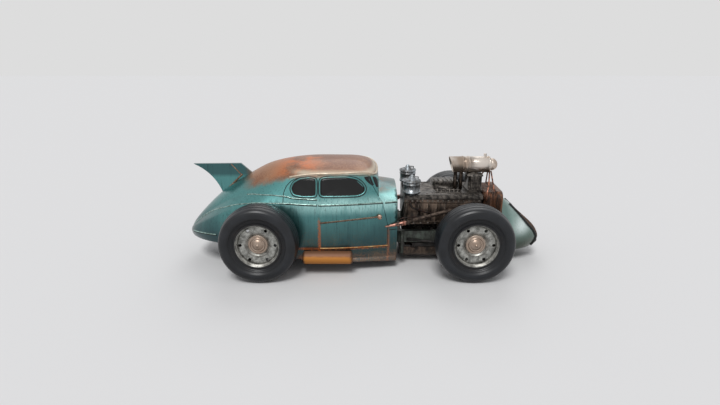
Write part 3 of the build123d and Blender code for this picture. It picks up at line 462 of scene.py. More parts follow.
def smoothed(points, rounds, closed=False):
    """Round a line's corners by averaging each point with its neighbours."""
    for _ in range(rounds):
        if closed:
            points = points * 0.5 + (np.roll(points, 1, axis=0) + np.roll(points, -1, axis=0)) * 0.25
        else:
            points[1:-1] = points[1:-1] * 0.5 + (points[:-2] + points[2:]) * 0.25
    return points


def joined(name, grids):
    """Join several grids of points into one piece, each closed at its ends."""
    points, quads, fans, start = [], [], [], 0
    for grid in grids:
        rows, columns = grid.shape[:2]
        quads.append(grid_quads(rows, columns) + start)
        fans += end_fans(rows, columns, start)
        points.append(grid.reshape(-1, 3))
        start += rows * columns
    return solid_from(name, np.vstack(points), np.vstack(quads), fans)


def bolts(name, places, axis, radius=0.008, height=0.006, sides=6):
    """Hexagon heads on washers at the places: rings of the radius times a share, stepped outwards along
    the axis."""
    axis = unit(np.asarray(axis, dtype=float))
    helper = np.array([0.0, 0.0, 1.0]) if abs(axis[2]) < 0.9 else np.array([1.0, 0.0, 0.0])
    first = unit(np.cross(axis, helper))
    second = np.cross(axis, first)
    angle = np.linspace(0, 2 * np.pi, sides, endpoint=False)
    ring = np.cos(angle)[:, None] * first + np.sin(angle)[:, None] * second
    # Columns: step along the axis, share of the radius
    steps = [(-0.004, 1.35), (0.0015, 1.35), (0.0016, 1.0), (height * 0.8, 1.0), (height, 0.8)]
    head = np.stack([ring * radius * share + axis * lift for lift, share in steps])
    piece = joined(name, [head + np.asarray(place, dtype=float) for place in places])
    piece.data.polygons.foreach_set("use_smooth", [False] * len(piece.data.polygons))
    return piece


def finished(piece, material, body, slot, replaced=()):
    """Give a piece its material and body, and hide the nodes that it stands for. The slot is not used."""
    piece.data.materials.clear()
    piece.data.materials.append(material)
    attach(piece, body)
    if replaced:
        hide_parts(*replaced)
    return piece


def smooth_copy(node, material, angle=32):
    """Weld a copy of a CAD node and shade it smooth but for its edges."""
    source = NODES[node]
    data = source.data.copy()
    piece = bpy.data.objects.new(f"{node}.finished", data)
    bpy.context.scene.collection.objects.link(piece)
    shape = bmesh.new()
    shape.from_mesh(data)
    bmesh.ops.remove_doubles(shape, verts=shape.verts, dist=WELD)
    shape.to_mesh(data)
    shape.free()
    if data.has_custom_normals:
        data.normals_split_custom_set([(0, 0, 0)] * len(data.loops))
    data.polygons.foreach_set("use_smooth", [True] * len(data.polygons))
    data.set_sharp_from_angle(angle=math.radians(angle))
    return finished(piece, material, BODY_OF[node], SLOT_OF[node], [node])


def rounded_outline(points, count, rounds):
    """A closed outline through the points, spread evenly and with its corners rounded."""
    return smoothed(resampled(points, count, closed=True), rounds, closed=True)


class SideFinder:
    """Finds the outer surface of the body by a ray across the car or down on it."""

    beyond_side = 1.4
    beyond_roof = 2.0
    rounds = 14

    def __init__(self, nodes):
        points, faces = [], []
        for node in nodes:
            start = len(points)
            points += [vertex.co.copy() for vertex in NODES[node].data.vertices]
            faces += [tuple(start + index for index in face.vertices) for face in NODES[node].data.polygons]
        self.tree = BVHTree.FromPolygons(points, faces)

    def side(self, x, z, side, proud=0.0):
        """The point of the body side at x and z, moved outwards by the proud distance."""
        hit = self.tree.ray_cast(Vector((x, side * self.beyond_side, z)), Vector((0, -side, 0)))[0]
        return None if hit is None else np.array(hit) + np.array([0, side * proud, 0])

    def top(self, x, y):
        """The point of the body's top at x and y."""
        hit = self.tree.ray_cast(Vector((x, y, self.beyond_roof)), Vector((0, 0, -1)))[0]
        return None if hit is None else np.array(hit)

    def along(self, points, side, count):
        """Lay a line of (x, z) points onto the body side."""
        found = [self.side(x, z, side) for x, z in resampled(points, count)]
        return smoothed(np.array([point for point in found if point is not None]), self.rounds)


COLOUR = {"size": 4, "subtype": "COLOR", "min": 0, "max": 1}


class HotRodColours(bpy.types.PropertyGroup):
    teal: bpy.props.FloatVectorProperty(
        name="Teal", description="Body paint in the light", default=srgb(88, 146, 145), **COLOUR)
    # Dark teal is the paint's dark streaks and also the painted shade low down on the body
    shade: bpy.props.FloatVectorProperty(
        name="Dark teal", description="Body paint in its dark streaks", default=srgb(42, 70, 74), **COLOUR)
    # Pale teal is the painted highlight along the belt shoulder
    pale: bpy.props.FloatVectorProperty(
        name="Pale teal", description="Body paint where it is rubbed pale",
        default=srgb(184, 232, 228), **COLOUR)
    orange: bpy.props.FloatVectorProperty(
        name="Orange rust", description="Fresh rust", default=srgb(200, 104, 36), **COLOUR)
    brown: bpy.props.FloatVectorProperty(
        name="Brown rust", description="Old rust", default=srgb(120, 74, 46), **COLOUR)
    bare: bpy.props.FloatVectorProperty(
        name="Bare metal", description="Metal rubbed bare within the rust",
        default=srgb(156, 112, 80), **COLOUR)
    # Cream is the painted highlight along the roof's lower edge and on the drip rails
    highlight_cream: bpy.props.FloatVectorProperty(
        name="Cream", description="Roof edge where it is rubbed bright",
        default=srgb(206, 192, 168), **COLOUR)
    grime: bpy.props.FloatVectorProperty(
        name="Grime", description="Dirt low on the body", default=srgb(84, 82, 66), **COLOUR)
    rubber: bpy.props.FloatVectorProperty(
        name="Rubber", description="Tyre rubber", default=srgb(19, 21, 25), **COLOUR)
    dust: bpy.props.FloatVectorProperty(
        name="Tyre dust", description="Dust on the tyres", default=srgb(35, 38, 43), **COLOUR)


class HotRodSizes(bpy.types.PropertyGroup):
    wheel_out: bpy.props.FloatProperty(
        name="Wheel centre", description="Distance from the centre plane", default=0.7265, unit="LENGTH")
    tyre_radius: bpy.props.FloatProperty(
        name="Tyre radius", description="Radius over the tread", default=HUB_HEIGHT, unit="LENGTH")
    ring_count: bpy.props.IntProperty(
        name="Sidewall rings", description="Rings sunk in each sidewall", default=4, min=1)
    tyre_steps: bpy.props.IntProperty(
        name="Tyre steps", description="Steps round each tyre", default=160, min=24)
    moulding: bpy.props.FloatProperty(
        name="Moulding", description="Radius of the body mouldings", default=0.0075, unit="LENGTH")
    seal: bpy.props.FloatProperty(
        name="Window seal", description="Radius of the window seals", default=0.007, unit="LENGTH")
    pleats: bpy.props.IntProperty(
        name="Seat pleats", description="Sewn channels across the seat", default=12, min=2)


class HotRodStage(bpy.types.PropertyGroup):
    lens: bpy.props.FloatProperty(
        name="Lens", description="Focal length in millimetres", default=24.45, min=5,
        subtype="DISTANCE_CAMERA")
    floor: bpy.props.FloatVectorProperty(
        name="Background", description="Pale background", default=srgb(221, 221, 221), **COLOUR)
    floor_colour: bpy.props.FloatProperty(
        name="Floor colour", description="Grey of the floor as the camera sees it", default=0.76,
        min=0, max=1)
    lamp: bpy.props.FloatProperty(
        name="Lamp strength", description="Strength of the main soft lamp", default=1.6, min=0)
    world: bpy.props.FloatProperty(
        name="World", description="Strength of the soft light all round", default=0.42, min=0)


# Tyre sidewall from the bead outwards, each point as (outboard, radius)
TYRE_PROFILE = [
    (0.104, 0.2362), (0.107, 0.247), (0.110, 0.262), (0.118, 0.281), (0.132, 0.298), (0.144, 0.315),
    (0.149, 0.337), (0.1465, 0.358), (0.138, 0.380), (0.124, 0.396), (0.108, 0.4045),
]
TREAD_GROOVES = [-0.066, -0.022, 0.022, 0.066]


class HOTROD_OT_tyres(bpy.types.Operator):
    """Balloon tyres with ridged sidewalls and grooved treads"""

    bl_idname = "hotrod.tyres"
    bl_label = "Tyres"

    ring_reach = (0.252, 0.292)
    ring_depth = 0.0045
    ring_width = 0.003
    tread_half = 0.104
    shoulder_radius = 0.4058
    crown_rise = 0.0142
    groove_depth = 0.006
    groove_width = 0.0036

    def profile(self, sizes):
        """One closed outline of (outboard, radius): the sidewall with sunk rings, then the tread, whose
        radius is the shoulder's plus the rise times 1 less the share of the half width squared, with
        narrow grooves, then the same sidewall turned over. A ring or groove takes off its depth times e
        to the minus square of the way from its middle over its width."""
        wall = resampled(TYRE_PROFILE, 56)
        rings = np.zeros(len(wall))
        for radius in np.linspace(*self.ring_reach, sizes.ring_count):
            rings -= self.ring_depth * np.exp(-((wall[:, 1] - radius) / self.ring_width) ** 2)
        wall[:, 0] += rings
        across = np.linspace(self.tread_half, -self.tread_half, 49)
        crown = self.shoulder_radius + self.crown_rise * (1 - (across / self.tread_half) ** 2)
        for groove in TREAD_GROOVES:
            crown -= self.groove_depth * np.exp(-((across - groove) / self.groove_width) ** 2)
        tread = np.stack([across, np.minimum(crown, sizes.tyre_radius)], axis=1)
        other = wall[::-1] * np.array([-1, 1])
        return np.vstack([wall, tread, other])

    def execute(self, context):
        sizes = context.scene.hot_rod_sizes
        rubber = tyre_rubber(context.scene.hot_rod_colours)
        outline = self.profile(sizes)
        for axle, x in AXLES.items():
            for side_name, side in SIDES.items():
                centre = (x, side * sizes.wheel_out, sizes.tyre_radius)
                grid = turned_rings(outline * np.array([side, 1]), centre, sizes.tyre_steps)
                piece = surface(f"tyre_{axle}_{side_name}.rubber", grid, wrap_rows=True)
                node = f"tyre_{axle}_{side_name}"
                finished(piece, rubber, BODY_OF[node], "tyre", [node])
        return {"FINISHED"}


class HOTROD_OT_wheels(bpy.types.Operator):
    """Weathered steel wheels, knuckles and axles"""

    bl_idname = "hotrod.wheels"
    bl_label = "Wheels and axles"

    def execute(self, context):
        steel = wheel_steel()
        iron = rusted("oily_iron", srgb(70, 66, 64), srgb(30, 28, 27), 0.5, 0.5, 20, 1.0)
        for axle in AXLES:
            for side_name in SIDES:
                smooth_copy(f"wheel_{axle}_{side_name}", steel)
        for node in ("knuckle_left", "knuckle_right", "front_axle", "rear_axle", "tie_rod", "radius_rods",
                     "side_pipes", "fuel_tank"):
            smooth_copy(node, iron)
        return {"FINISHED"}


class HOTROD_OT_shell(bpy.types.Operator):
    """Body panels, doors, nose and fin in weathered teal and rust"""

    bl_idname = "hotrod.shell"
    bl_label = "Body shell"

    def muffler_rust(self):
        """Brown on top and orange below, darker towards both ends."""
        rust = Finish("orange_rust", Metallic=0.3, Specular_IOR_Level=0.5)
        patches = rust.noise(14, (0.3, 1, 1), 6, 0.65)
        low = rust.between(rust.z + (patches - 0.5) * 0.05, 0.25, 0.22)
        colour = rust.mix(low, srgb(122, 82, 56), srgb(204, 134, 58))
        ends = rust.between(abs(rust.x + 0.41) + (patches - 0.5) * 0.05, 0.23, 0.28)
        dark = (ends + rust.between(patches, 0.55, 0.7) * 0.5).clamped()
        return rust.feed(
            Base_Color=rust.mix(dark, colour, srgb(84, 62, 50)),
            Roughness=(0.42 + patches * 0.25).clamped(),
            Normal=rust.bump(patches, 0.3, 0.001),
        )

    def execute(self, context):
        paint = body_paint(context.scene.hot_rod_colours)
        for node in SHELL + ["tail_fin"]:
            smooth_copy(node, paint, 24)
        smooth_copy("nose_shell", nose_paint(context.scene.hot_rod_colours), 40)
        dark = rusted("blackened_steel", srgb(44, 44, 44), srgb(18, 18, 18), 0.3, 0.5, 20, 1.0)
        smooth_copy("grille_rim", dark)
        smooth_copy("grille_bars", rusted("grille_brown", srgb(120, 92, 74), srgb(64, 48, 40), 0.4, 0.5))
        copper = rusted("dull_copper", srgb(236, 206, 186), srgb(176, 124, 98), 0.7, 0.3, 26, 1.0)
        for node in ("spear_left", "spear_right"):
            smooth_copy(node, copper)
        smooth_copy("mufflers", self.muffler_rust())
        return {"FINISHED"}


class HOTROD_OT_cabin(bpy.types.Operator):
    """Glass, floor, dashboard and steering"""

    bl_idname = "hotrod.cabin"
    bl_label = "Cabin and glass"

    def execute(self, context):
        glass = tinted_and_shaded_glass()
        for node in ("door_glass_left", "door_glass_right", "quarter_glass", "windscreen"):
            smooth_copy(node, glass)
        dark = rusted("cabin_black", srgb(52, 50, 48), srgb(26, 25, 24), 0.1, 0.7, 24, 1.0)
        for node in ("cabin_floor", "dashboard", "steering_wheel", "steering_column"):
            smooth_copy(node, dark)
        return {"FINISHED"}


class HOTROD_OT_engine(bpy.types.Operator):
    """Engine, blower, tube, canisters and pipes"""

    bl_idname = "hotrod.engine"
    bl_label = "Engine"

    def execute(self, context):
        iron = rusted("engine_iron", srgb(112, 106, 100), srgb(30, 27, 25), 0.6, 0.38, 30, 1.0)
        brown = rusted("engine_brown", srgb(112, 96, 84), srgb(44, 38, 34), 0.6, 0.38, 22, 0.4)
        grey_blue = rusted("canister_grey", srgb(176, 184, 190), srgb(96, 94, 92), 0.75, 0.3, 14, 0.3)
        warm = polished_tube()
        drum = rusted("drum_rust", srgb(138, 96, 72), srgb(62, 54, 50), 0.5, 0.42, 20, 0.12)
        soot = srgb(52, 42, 37)
        brace_metal = two_metals("brace_copper", srgb(206, 148, 130), srgb(104, 90, 80), 0.44, soot)
        copper = two_metals("pipe_copper", srgb(56, 52, 50), srgb(190, 132, 108), 0.95, srgb(60, 40, 34))
        grey_green = rusted("rail_grey_green", srgb(96, 104, 96), srgb(52, 52, 48), 0.3, 0.5, 18, 0.5)
        finishes = {
            "engine_block": iron, "engine_top": iron, "engine_sides": brown, "blower": iron,
            "induction_tube": warm, "tube_legs": brown, "canisters": grey_blue, "radiator": drum,
            "belly_pan": brown, "braces": brace_metal, "engine_lines": copper, "front_frame": grey_green,
            "rear_frame": grey_green,
        }
        for node, material in finishes.items():
            smooth_copy(node, material)
        return {"FINISHED"}


class HOTROD_OT_mouldings(bpy.types.Operator):
    """Belt lines with painted shadow lines under them, creases, drip rails with painted shadow lines under
    them, arch lips, valances and the lines on the fin
    """

    bl_idname = "hotrod.mouldings"
    bl_label = "Mouldings"

    # Lines on the body side, each point as (x, z)
    tail_belt = [
        (-1.995, 0.418), (-1.88, 0.520), (-1.78, 0.590), (-1.66, 0.658), (-1.42, 0.748), (-1.18, 0.792),
        (-0.848, 0.797), (-0.516, 0.784),
    ]
    door_belt = [(-0.504, 0.784), (-0.06, 0.788), (0.190, 0.790)]
    cowl_belt = [(0.212, 0.790), (0.346, 0.792)]
    upper = [
        (-1.30, 0.846), (-1.22, 0.862), (-1.02, 0.872), (-0.84, 0.866), (-0.80, 0.852), (-0.56, 0.842),
        (-0.516, 0.842),
    ]
    tail_light = [(-1.975, 0.372), (-1.84, 0.392), (-1.66, 0.402)]
    door_sill = [(-0.498, 0.291), (0.252, 0.291)]
    panel_edge = [
        (-0.884, 0.800), (-0.880, 0.900), (-0.850, 0.970), (-0.790, 1.028), (-0.700, 1.058),
        (-0.600, 1.066),
    ]
    cowl_fold = [(0.262, 0.476), (0.346, 0.476)]
    low_fold = [(-0.180, 0.158), (0.346, 0.160)]
    fin_seam = [(-1.545, 1.106), (-1.440, 0.985)]
    fin_base = [(-1.425, 0.985), (-1.530, 0.885), (-1.660, 0.760)]
    # The roof's lip from rear to front, each point as (x, half width)
    roof_lip = [
        (-0.82, 0.422), (-0.70, 0.432), (-0.50, 0.440), (-0.30, 0.437), (-0.15, 0.430), (-0.02, 0.412),
        (0.06, 0.385), (0.098, 0.345), (0.120, 0.270), (0.132, 0.150), (0.138, 0.0),
    ]
    # The valance's section, each point as (outboard, height), which is squeezed between the lower edge,
    # given as (x, z), and the top. The body side is felt at the carrier's height.
    valance_top = 0.165
    valance_carrier = 0.19
    valance_section = [
        (0.0015, 0.165), (0.002, 0.02), (0.006, 0.010), (0.004, 0.002), (-0.004, 0.0), (-0.012, 0.006),
        (-0.014, 0.02), (-0.014, 0.165),
    ]
    valance_edge = [(-0.66, 0.120), (-0.5, 0.120), (-0.15, 0.116), (0.06, 0.112), (0.349, 0.096)]
    # Points along each kind of line
    belt_steps = 120
    fold_steps = 70
    door_steps = 90
    rail_steps = 90
    valance_steps = 80
    fin_steps = 24
    sill_share = 0.8
    # A painted shadow: a dark bead this far under each belt moulding
    shadow_drop = np.array([0, 0, 0.0105])
    shadow_radius = 0.0052
    groove_radius = 0.0042
    arch_lip_turn = (8, 172)
    arch_lip_reach = 0.2445
    arch_lip_radius = 0.009
    rail_radius = 0.0125
    # A painted shadow: a dark bead this far under the roof's lip
    rail_shadow_drop = np.array([0, 0, 0.0155])
    rail_shadow_radius = 0.008
    fin_side = 0.0152
    fin_seam_radius = 0.006
    fin_base_radius = 0.011

    def rail(self, finder, side):
        """The roof's lip: along it at the given half widths, then round the front corner to the middle."""
        points = [finder.top(x, side * out) for x, out in resampled(self.roof_lip, self.rail_steps)]
        return smoothed(np.array([point for point in points if point is not None]), 8)

    def valance(self, finder, side):
        """The strip below the sill: at each place along the car a flat closed outline that hangs from the
        body side down to the given height, with a rolled lower edge."""
        x = np.linspace(self.valance_edge[0][0], self.valance_edge[-1][0], self.valance_steps)
        out = np.array([abs(finder.side(place, self.valance_carrier, side)[1]) for place in x])
        out = smoothed(out[:, None], 6)[:, 0]
        low = np.interp(x, *np.array(self.valance_edge).T)
        section = np.array(self.valance_section)
        y = side * (out[:, None] + section[:, 0])
        share = section[:, 1] / self.valance_top
        z = low[:, None] + (self.valance_top - low[:, None]) * share
        return np.stack([np.broadcast_to(x[:, None], y.shape), y, z], axis=-1)

    def fin_line(self, line, radius, side):
        """A bead along a line of (x, z) points, half sunk in the fin's side."""
        x, z = resampled(line, self.fin_steps).T
        path = np.stack([x, np.full(self.fin_steps, side * self.fin_side), z], axis=1)
        return bead(path, radius, up=(0, 1, 0))

    def execute(self, context):
        radius = context.scene.hot_rod_sizes.moulding
        paint = body_paint(context.scene.hot_rod_colours)
        dark = rusted("shadow_and_groove_black", srgb(30, 30, 30), srgb(14, 14, 14), 0.0, 0.7, 30, 1.0)
        pale = rusted("moulding_pale", srgb(176, 204, 198), srgb(110, 132, 124), 0.7, 0.26, 30, 1.0)
        # The drip rails are cream to carry on the painted highlight along the roof's lower edge
        highlight_cream = rusted("drip_rail_cream", srgb(214, 202, 182), srgb(190, 168, 144), 0.3, 0.34, 6, 1.0)
        ochre = rusted("sill_ochre", srgb(206, 176, 120), srgb(176, 104, 50), 0.35, 0.4, 14, 1.0)
        base_brown = rusted("fin_base_brown", srgb(186, 150, 128), srgb(110, 78, 58), 0.4, 0.4, 20, 1.0)
        arch_brown = rusted("arch_brown", srgb(120, 90, 70), srgb(56, 44, 37), 0.35, 0.45, 24, 1.0)
        finder = SideFinder(SHELL)
        raised, shadows_and_grooves, lips, rails, rail_shadows, valances, fins = [], [], [], [], [], [], []
        for side_name, side in SIDES.items():
            door = f"door_{side_name}"
            for line in (self.tail_belt, self.cowl_belt, self.upper, self.tail_light):
                path = finder.along(line, side, self.belt_steps)
                raised.append(bead(path, radius))
                # Painted shadow: a dark bead under each belt moulding
                shadows_and_grooves.append(bead(path - self.shadow_drop, self.shadow_radius))
            for line in (self.panel_edge, self.cowl_fold, self.low_fold):
                shadows_and_grooves.append(bead(finder.along(line, side, self.fold_steps), self.groove_radius))
            belt = finder.along(self.door_belt, side, self.door_steps)
            sill = finder.along(self.door_sill, side, self.door_steps)
            # The door's belt moulding also gets a dark bead under it, a painted shadow
            for name, path, thick, material, slot in (
                    ("door_moulding", belt, radius, pale, "teal"),
                    ("door_sill", sill, radius * self.sill_share, ochre, "teal"),
                    ("door_belt_shadow", belt - self.shadow_drop, self.shadow_radius, dark, "black")):
                finished(joined(f"{name}_{side_name}", [bead(path, thick)]), material, door, slot)
            turn = np.linspace(*map(math.radians, self.arch_lip_turn), self.fold_steps)
            ring = np.stack([np.cos(turn), np.sin(turn)], axis=1) * self.arch_lip_reach
            ring = ring + (AXLES["rear"], HUB_HEIGHT)
            lips.append(bead(finder.along(ring, side, self.fold_steps), self.arch_lip_radius))
            path = self.rail(finder, side)
            rails.append(bead(path, self.rail_radius))
            # Painted shadow: a dark bead under the roof's lip
            rail_shadows.append(bead(path - self.rail_shadow_drop, self.rail_shadow_radius))
            valances.append(self.valance(finder, side))
            fins.append(self.fin_line(self.fin_seam, self.fin_seam_radius, side))
            fins.append(self.fin_line(self.fin_base, self.fin_base_radius, side))
        for name, grids, material, slot in (
                ("belt_mouldings", raised, pale, "teal"), ("valances", valances, paint, "teal"),
                ("panel_shadows_and_grooves", shadows_and_grooves, dark, "black"), ("arch_lips", lips, arch_brown, "teal"),
                ("drip_rails", rails, highlight_cream, "teal"), ("drip_rail_shadows", rail_shadows, dark, "black"),
                ("fin_seams", fins, base_brown, "teal")):
            finished(joined(name, grids), material, "root", slot)
        return {"FINISHED"}


class HOTROD_OT_windows(bpy.types.Operator):
    """Tinted side and corner panes, with seals, raised surrounds and grooves round the side ones"""

    bl_idname = "hotrod.windows"
    bl_label = "Side windows"

    # Outlines of the panes, each point as (x, z)
    door = [
        (-0.478, 0.884), (-0.478, 1.040), (-0.38, 1.050), (-0.20, 1.052), (-0.10, 1.034), (-0.04, 0.990),
        (-0.008, 0.942), (-0.02, 0.905), (-0.08, 0.884), (-0.25, 0.882),
    ]
    quarter = [
        (-0.790, 0.945), (-0.765, 0.995), (-0.700, 1.032), (-0.60, 1.044), (-0.540, 1.038), (-0.538, 0.960),
        (-0.540, 0.884), (-0.668, 0.880), (-0.765, 0.895),
    ]
    corner = [
        (-0.016, 1.062), (0.054, 1.062), (0.080, 1.000), (0.094, 0.970), (0.074, 0.966), (0.040, 0.992),
        (0.002, 1.028),
    ]
    screen = [
        (0.076, 1.058), (0.118, 1.042), (0.134, 1.000), (0.139, 0.945), (0.124, 0.940), (0.099, 0.990),
    ]
    pane_proud = 0.002
    pane_thickness = 0.005
    laid_proud = 0.003
    laid_thickness = 0.006
    laid_out = 0.4
    # The body side is felt this far outside a pane's outline, and only where it is at least this far out
    felt_reaches = (0.016, 0.03)
    least_out = 0.38
    edge_reach = 0.014
    # Rings round each pane. Columns: name, reach past the outline, share of the seal's radius, slot
    rings = [
        ("seal", 0.002, 0.8, "black"), ("surround", 0.013, 1.2, "teal"), ("groove", 0.025, 0.6, "black"),
    ]

    def grown(self, line, reach):
        """The outline moved outwards along its normals, which are the steps turned a quarter round."""
        step = unit(np.roll(line, -2, axis=0) - np.roll(line, 2, axis=0))
        normal = np.stack([-step[:, 1], step[:, 0]], axis=1)
        outwards = np.sign(np.sum(normal * (line - line.mean(axis=0))))
        return line + outwards * normal * reach

    def skin(self, finder, line, side):
        """The body side near a window, y = a + bz + cz squared + dx, fitted to points round the window."""
        places = np.vstack([self.grown(line, reach) for reach in self.felt_reaches])
        found = [finder.side(x, z, side) for x, z in places]
        found = np.array([point for point in found if point is not None])
        found = found[np.abs(found[:, 1]) > self.least_out]
        terms = np.stack([np.ones(len(found)), found[:, 2], found[:, 2] ** 2, found[:, 0]], axis=1)
        fit = np.linalg.lstsq(terms, found[:, 1], rcond=None)[0]
        return lambda x, z: fit[0] + fit[1] * z + fit[2] * z ** 2 + fit[3] * x

    def edge(self, finder, line, skin, side):
        """How far the true body side stands out from the fitted one, just outside each outline point."""
        wide = self.grown(line, self.edge_reach)
        found = [finder.side(x, z, side) for x, z in wide]
        true = np.array([skin(x, z) if point is None else point[1] for point, (x, z) in zip(found, wide)])
        return smoothed((true - skin(wide[:, 0], wide[:, 1]))[:, None], 12, closed=True)[:, 0]

    def pane(self, name, line, skin, stand, side):
        """A thin pane: shrunk copies of the outline from its middle outwards, each at the fitted body side
        plus a growing share of the true side's difference, then the same points set back."""
        centre = line.mean(axis=0)
        share = np.linspace(0.02, 1, 12)[:, None]
        flat = centre + (line[None] - centre) * share[..., None]
        y = skin(flat[..., 0], flat[..., 1]) + stand * share + side * self.pane_proud
        front = np.stack([flat[..., 0], y, flat[..., 1]], axis=-1)
        back = front[::-1] - np.array([0, side * self.pane_thickness, 0])
        return surface(name, np.vstack([front, back]))

    def laid(self, finder, outline, name, side):
        """A small pane laid on the curved front corner: shrunk copies of the outline, each point on the
        body's surface, then the same points set back."""
        line = rounded_outline(outline, 44, 1)
        centre = line.mean(axis=0)
        flat = centre + (line[None] - centre) * np.linspace(0.05, 1, 7)[:, None, None]
        places = flat.reshape(-1, 2)
        found = [finder.side(x, z, side, self.laid_proud) for x, z in places]
        found = [(x, side * self.laid_out, z) if point is None else point
                 for point, (x, z) in zip(found, places)]
        front = np.array(found).reshape(*flat.shape[:2], 3)
        back = front[::-1] - np.array([0, side * self.laid_thickness, 0])
        return surface(name, np.vstack([front, back]))

    def execute(self, context):
        radius = context.scene.hot_rod_sizes.seal
        rubber = rusted("seal_rubber", srgb(34, 34, 34), srgb(16, 16, 16), 0.0, 0.5, 40, 1.0)
        glass = tinted_and_shaded_glass()
        materials = {"black": rubber, "teal": body_paint(context.scene.hot_rod_colours)}
        finder = SideFinder(SHELL)
        for side_name, side in SIDES.items():
            for name, outline, body in (("door", self.door, f"door_{side_name}"),
                                        ("quarter", self.quarter, "root")):
                line = rounded_outline(outline, 140, 10)
                skin = self.skin(finder, line, side)
                stand = self.edge(finder, line, skin, side)
                piece = self.pane(f"{name}_pane_{side_name}", line, skin, stand, side)
                finished(piece, glass, body, "glass")
                for part, reach, thick_share, slot in self.rings:
                    wide = self.grown(line, reach)
                    path = np.stack([wide[:, 0], skin(wide[:, 0], wide[:, 1]) + stand, wide[:, 1]], axis=1)
                    ring = bead(path, radius * thick_share, closed=True, up=(0, 1, 0))
                    piece = surface(f"{name}_{part}_{side_name}", ring, wrap_rows=True)
                    finished(piece, materials[slot], body, slot)
            corner = self.laid(finder, self.corner, f"corner_pane_{side_name}", side)
            finished(corner, glass, f"door_{side_name}", "glass")
            screen = self.laid(finder, self.screen, f"screen_pane_{side_name}", side)
            finished(screen, glass, "root", "glass")
        return {"FINISHED"}


class HOTROD_OT_grille_edge(bpy.types.Operator):
    """Black moulding round the grille mouth"""

    bl_idname = "hotrod.grille_edge"
    bl_label = "Grille edge"

    # From the top of the mouth to its foot, each point as (half width, z)
    outline = [(0.094, 0.650), (0.184, 0.430), (0.176, 0.172)]
    edge_radius = 0.017
    beyond_nose = 2.4

    def execute(self, context):
        black = rusted("grille_black", srgb(34, 33, 32), srgb(14, 14, 14), 0.2, 0.4, 20, 1.0)
        finder = SideFinder(["nose_shell", "grille_rim"])
        edges = []
        for side in SIDES.values():
            line = smoothed(resampled([(side * y, z) for y, z in self.outline], 70), 8)
            starts = [Vector((self.beyond_nose, y, z)) for y, z in line]
            points = [finder.tree.ray_cast(start, Vector((-1, 0, 0)))[0] for start in starts]
            path = smoothed(np.array([tuple(point) for point in points if point is not None]), 4)
            edges.append(bead(path, self.edge_radius, up=(0, 1, 0)))
        finished(joined("grille_edges", edges), black, "root", "black")
        return {"FINISHED"}


class HOTROD_OT_fasteners(bpy.types.Operator):
    """Bolts on the engine's deck and covers, the canisters' lids and the blower's plate"""

    bl_idname = "hotrod.fasteners"
    bl_label = "Fasteners"

    # Each reach is from rear to front, each out is from the centre plane, each top is a height
    deck_reach = (0.66, 1.29)
    deck_count = 12
    deck_out = 0.262
    deck_top = 0.809
    inner_out = 0.214
    inner_places = (0.70, 1.13)
    cover_reach = (0.47, 1.28)
    cover_out = 0.290
    # Rows of bolts on the side covers. Columns: height, count
    cover_rows = [(0.744, 15), (0.484, 11)]
    # The canisters' lids. Columns: x, outboard, height, radius of the ring of bolts
    lid = (0.521, 0.255, 0.982, 0.078)
    lid_count = 6
    plate_reach = (1.19, 1.335)
    plate_count = 4
    plate_out = 0.128
    plate_top = 0.829
    small_head = 0.006

    def execute(self, context):
        steel = rusted("bolt_steel", srgb(150, 144, 138), srgb(84, 76, 70), 0.6, 0.4, 40, 1.0)
        deck, cover, lid, plate = [], {1: [], -1: []}, [], []
        turns = np.linspace(0, 2 * math.pi, self.lid_count, endpoint=False)
        lid_x, lid_out, lid_top, lid_ring = self.lid
        for side in SIDES.values():
            deck_places = np.linspace(*self.deck_reach, self.deck_count)
            deck += [(x, side * self.deck_out, self.deck_top) for x in deck_places]
            deck += [(x, side * self.inner_out, self.deck_top) for x in self.inner_places]
            for height, count in self.cover_rows:
                cover_places = np.linspace(*self.cover_reach, count)
                cover[side] += [(x, side * self.cover_out, height) for x in cover_places]
            lid += [(lid_x + lid_ring * math.cos(turn), side * lid_out + lid_ring * math.sin(turn), lid_top)
                    for turn in turns]
            plate_places = np.linspace(*self.plate_reach, self.plate_count)
            plate += [(x, side * self.plate_out, self.plate_top) for x in plate_places]
        finished(bolts("deck_bolts", deck, (0, 0, 1)), steel, "root", "dark_iron")
        for side_name, side in SIDES.items():
            piece = bolts(f"cover_bolts_{side_name}", cover[side], (0, side, 0))
            finished(piece, steel, "root", "dark_iron")
        finished(bolts("lid_bolts", lid, (0, 0, 1), self.small_head), steel, "root", "dark_iron")
        finished(bolts("blower_bolts", plate, (0, 0, 1), self.small_head), steel, "root", "dark_iron")
        return {"FINISHED"}


def power(values, exponent):
    """The size of each value raised to the exponent, with its sign kept."""
    return np.sign(values) * np.abs(values) ** exponent


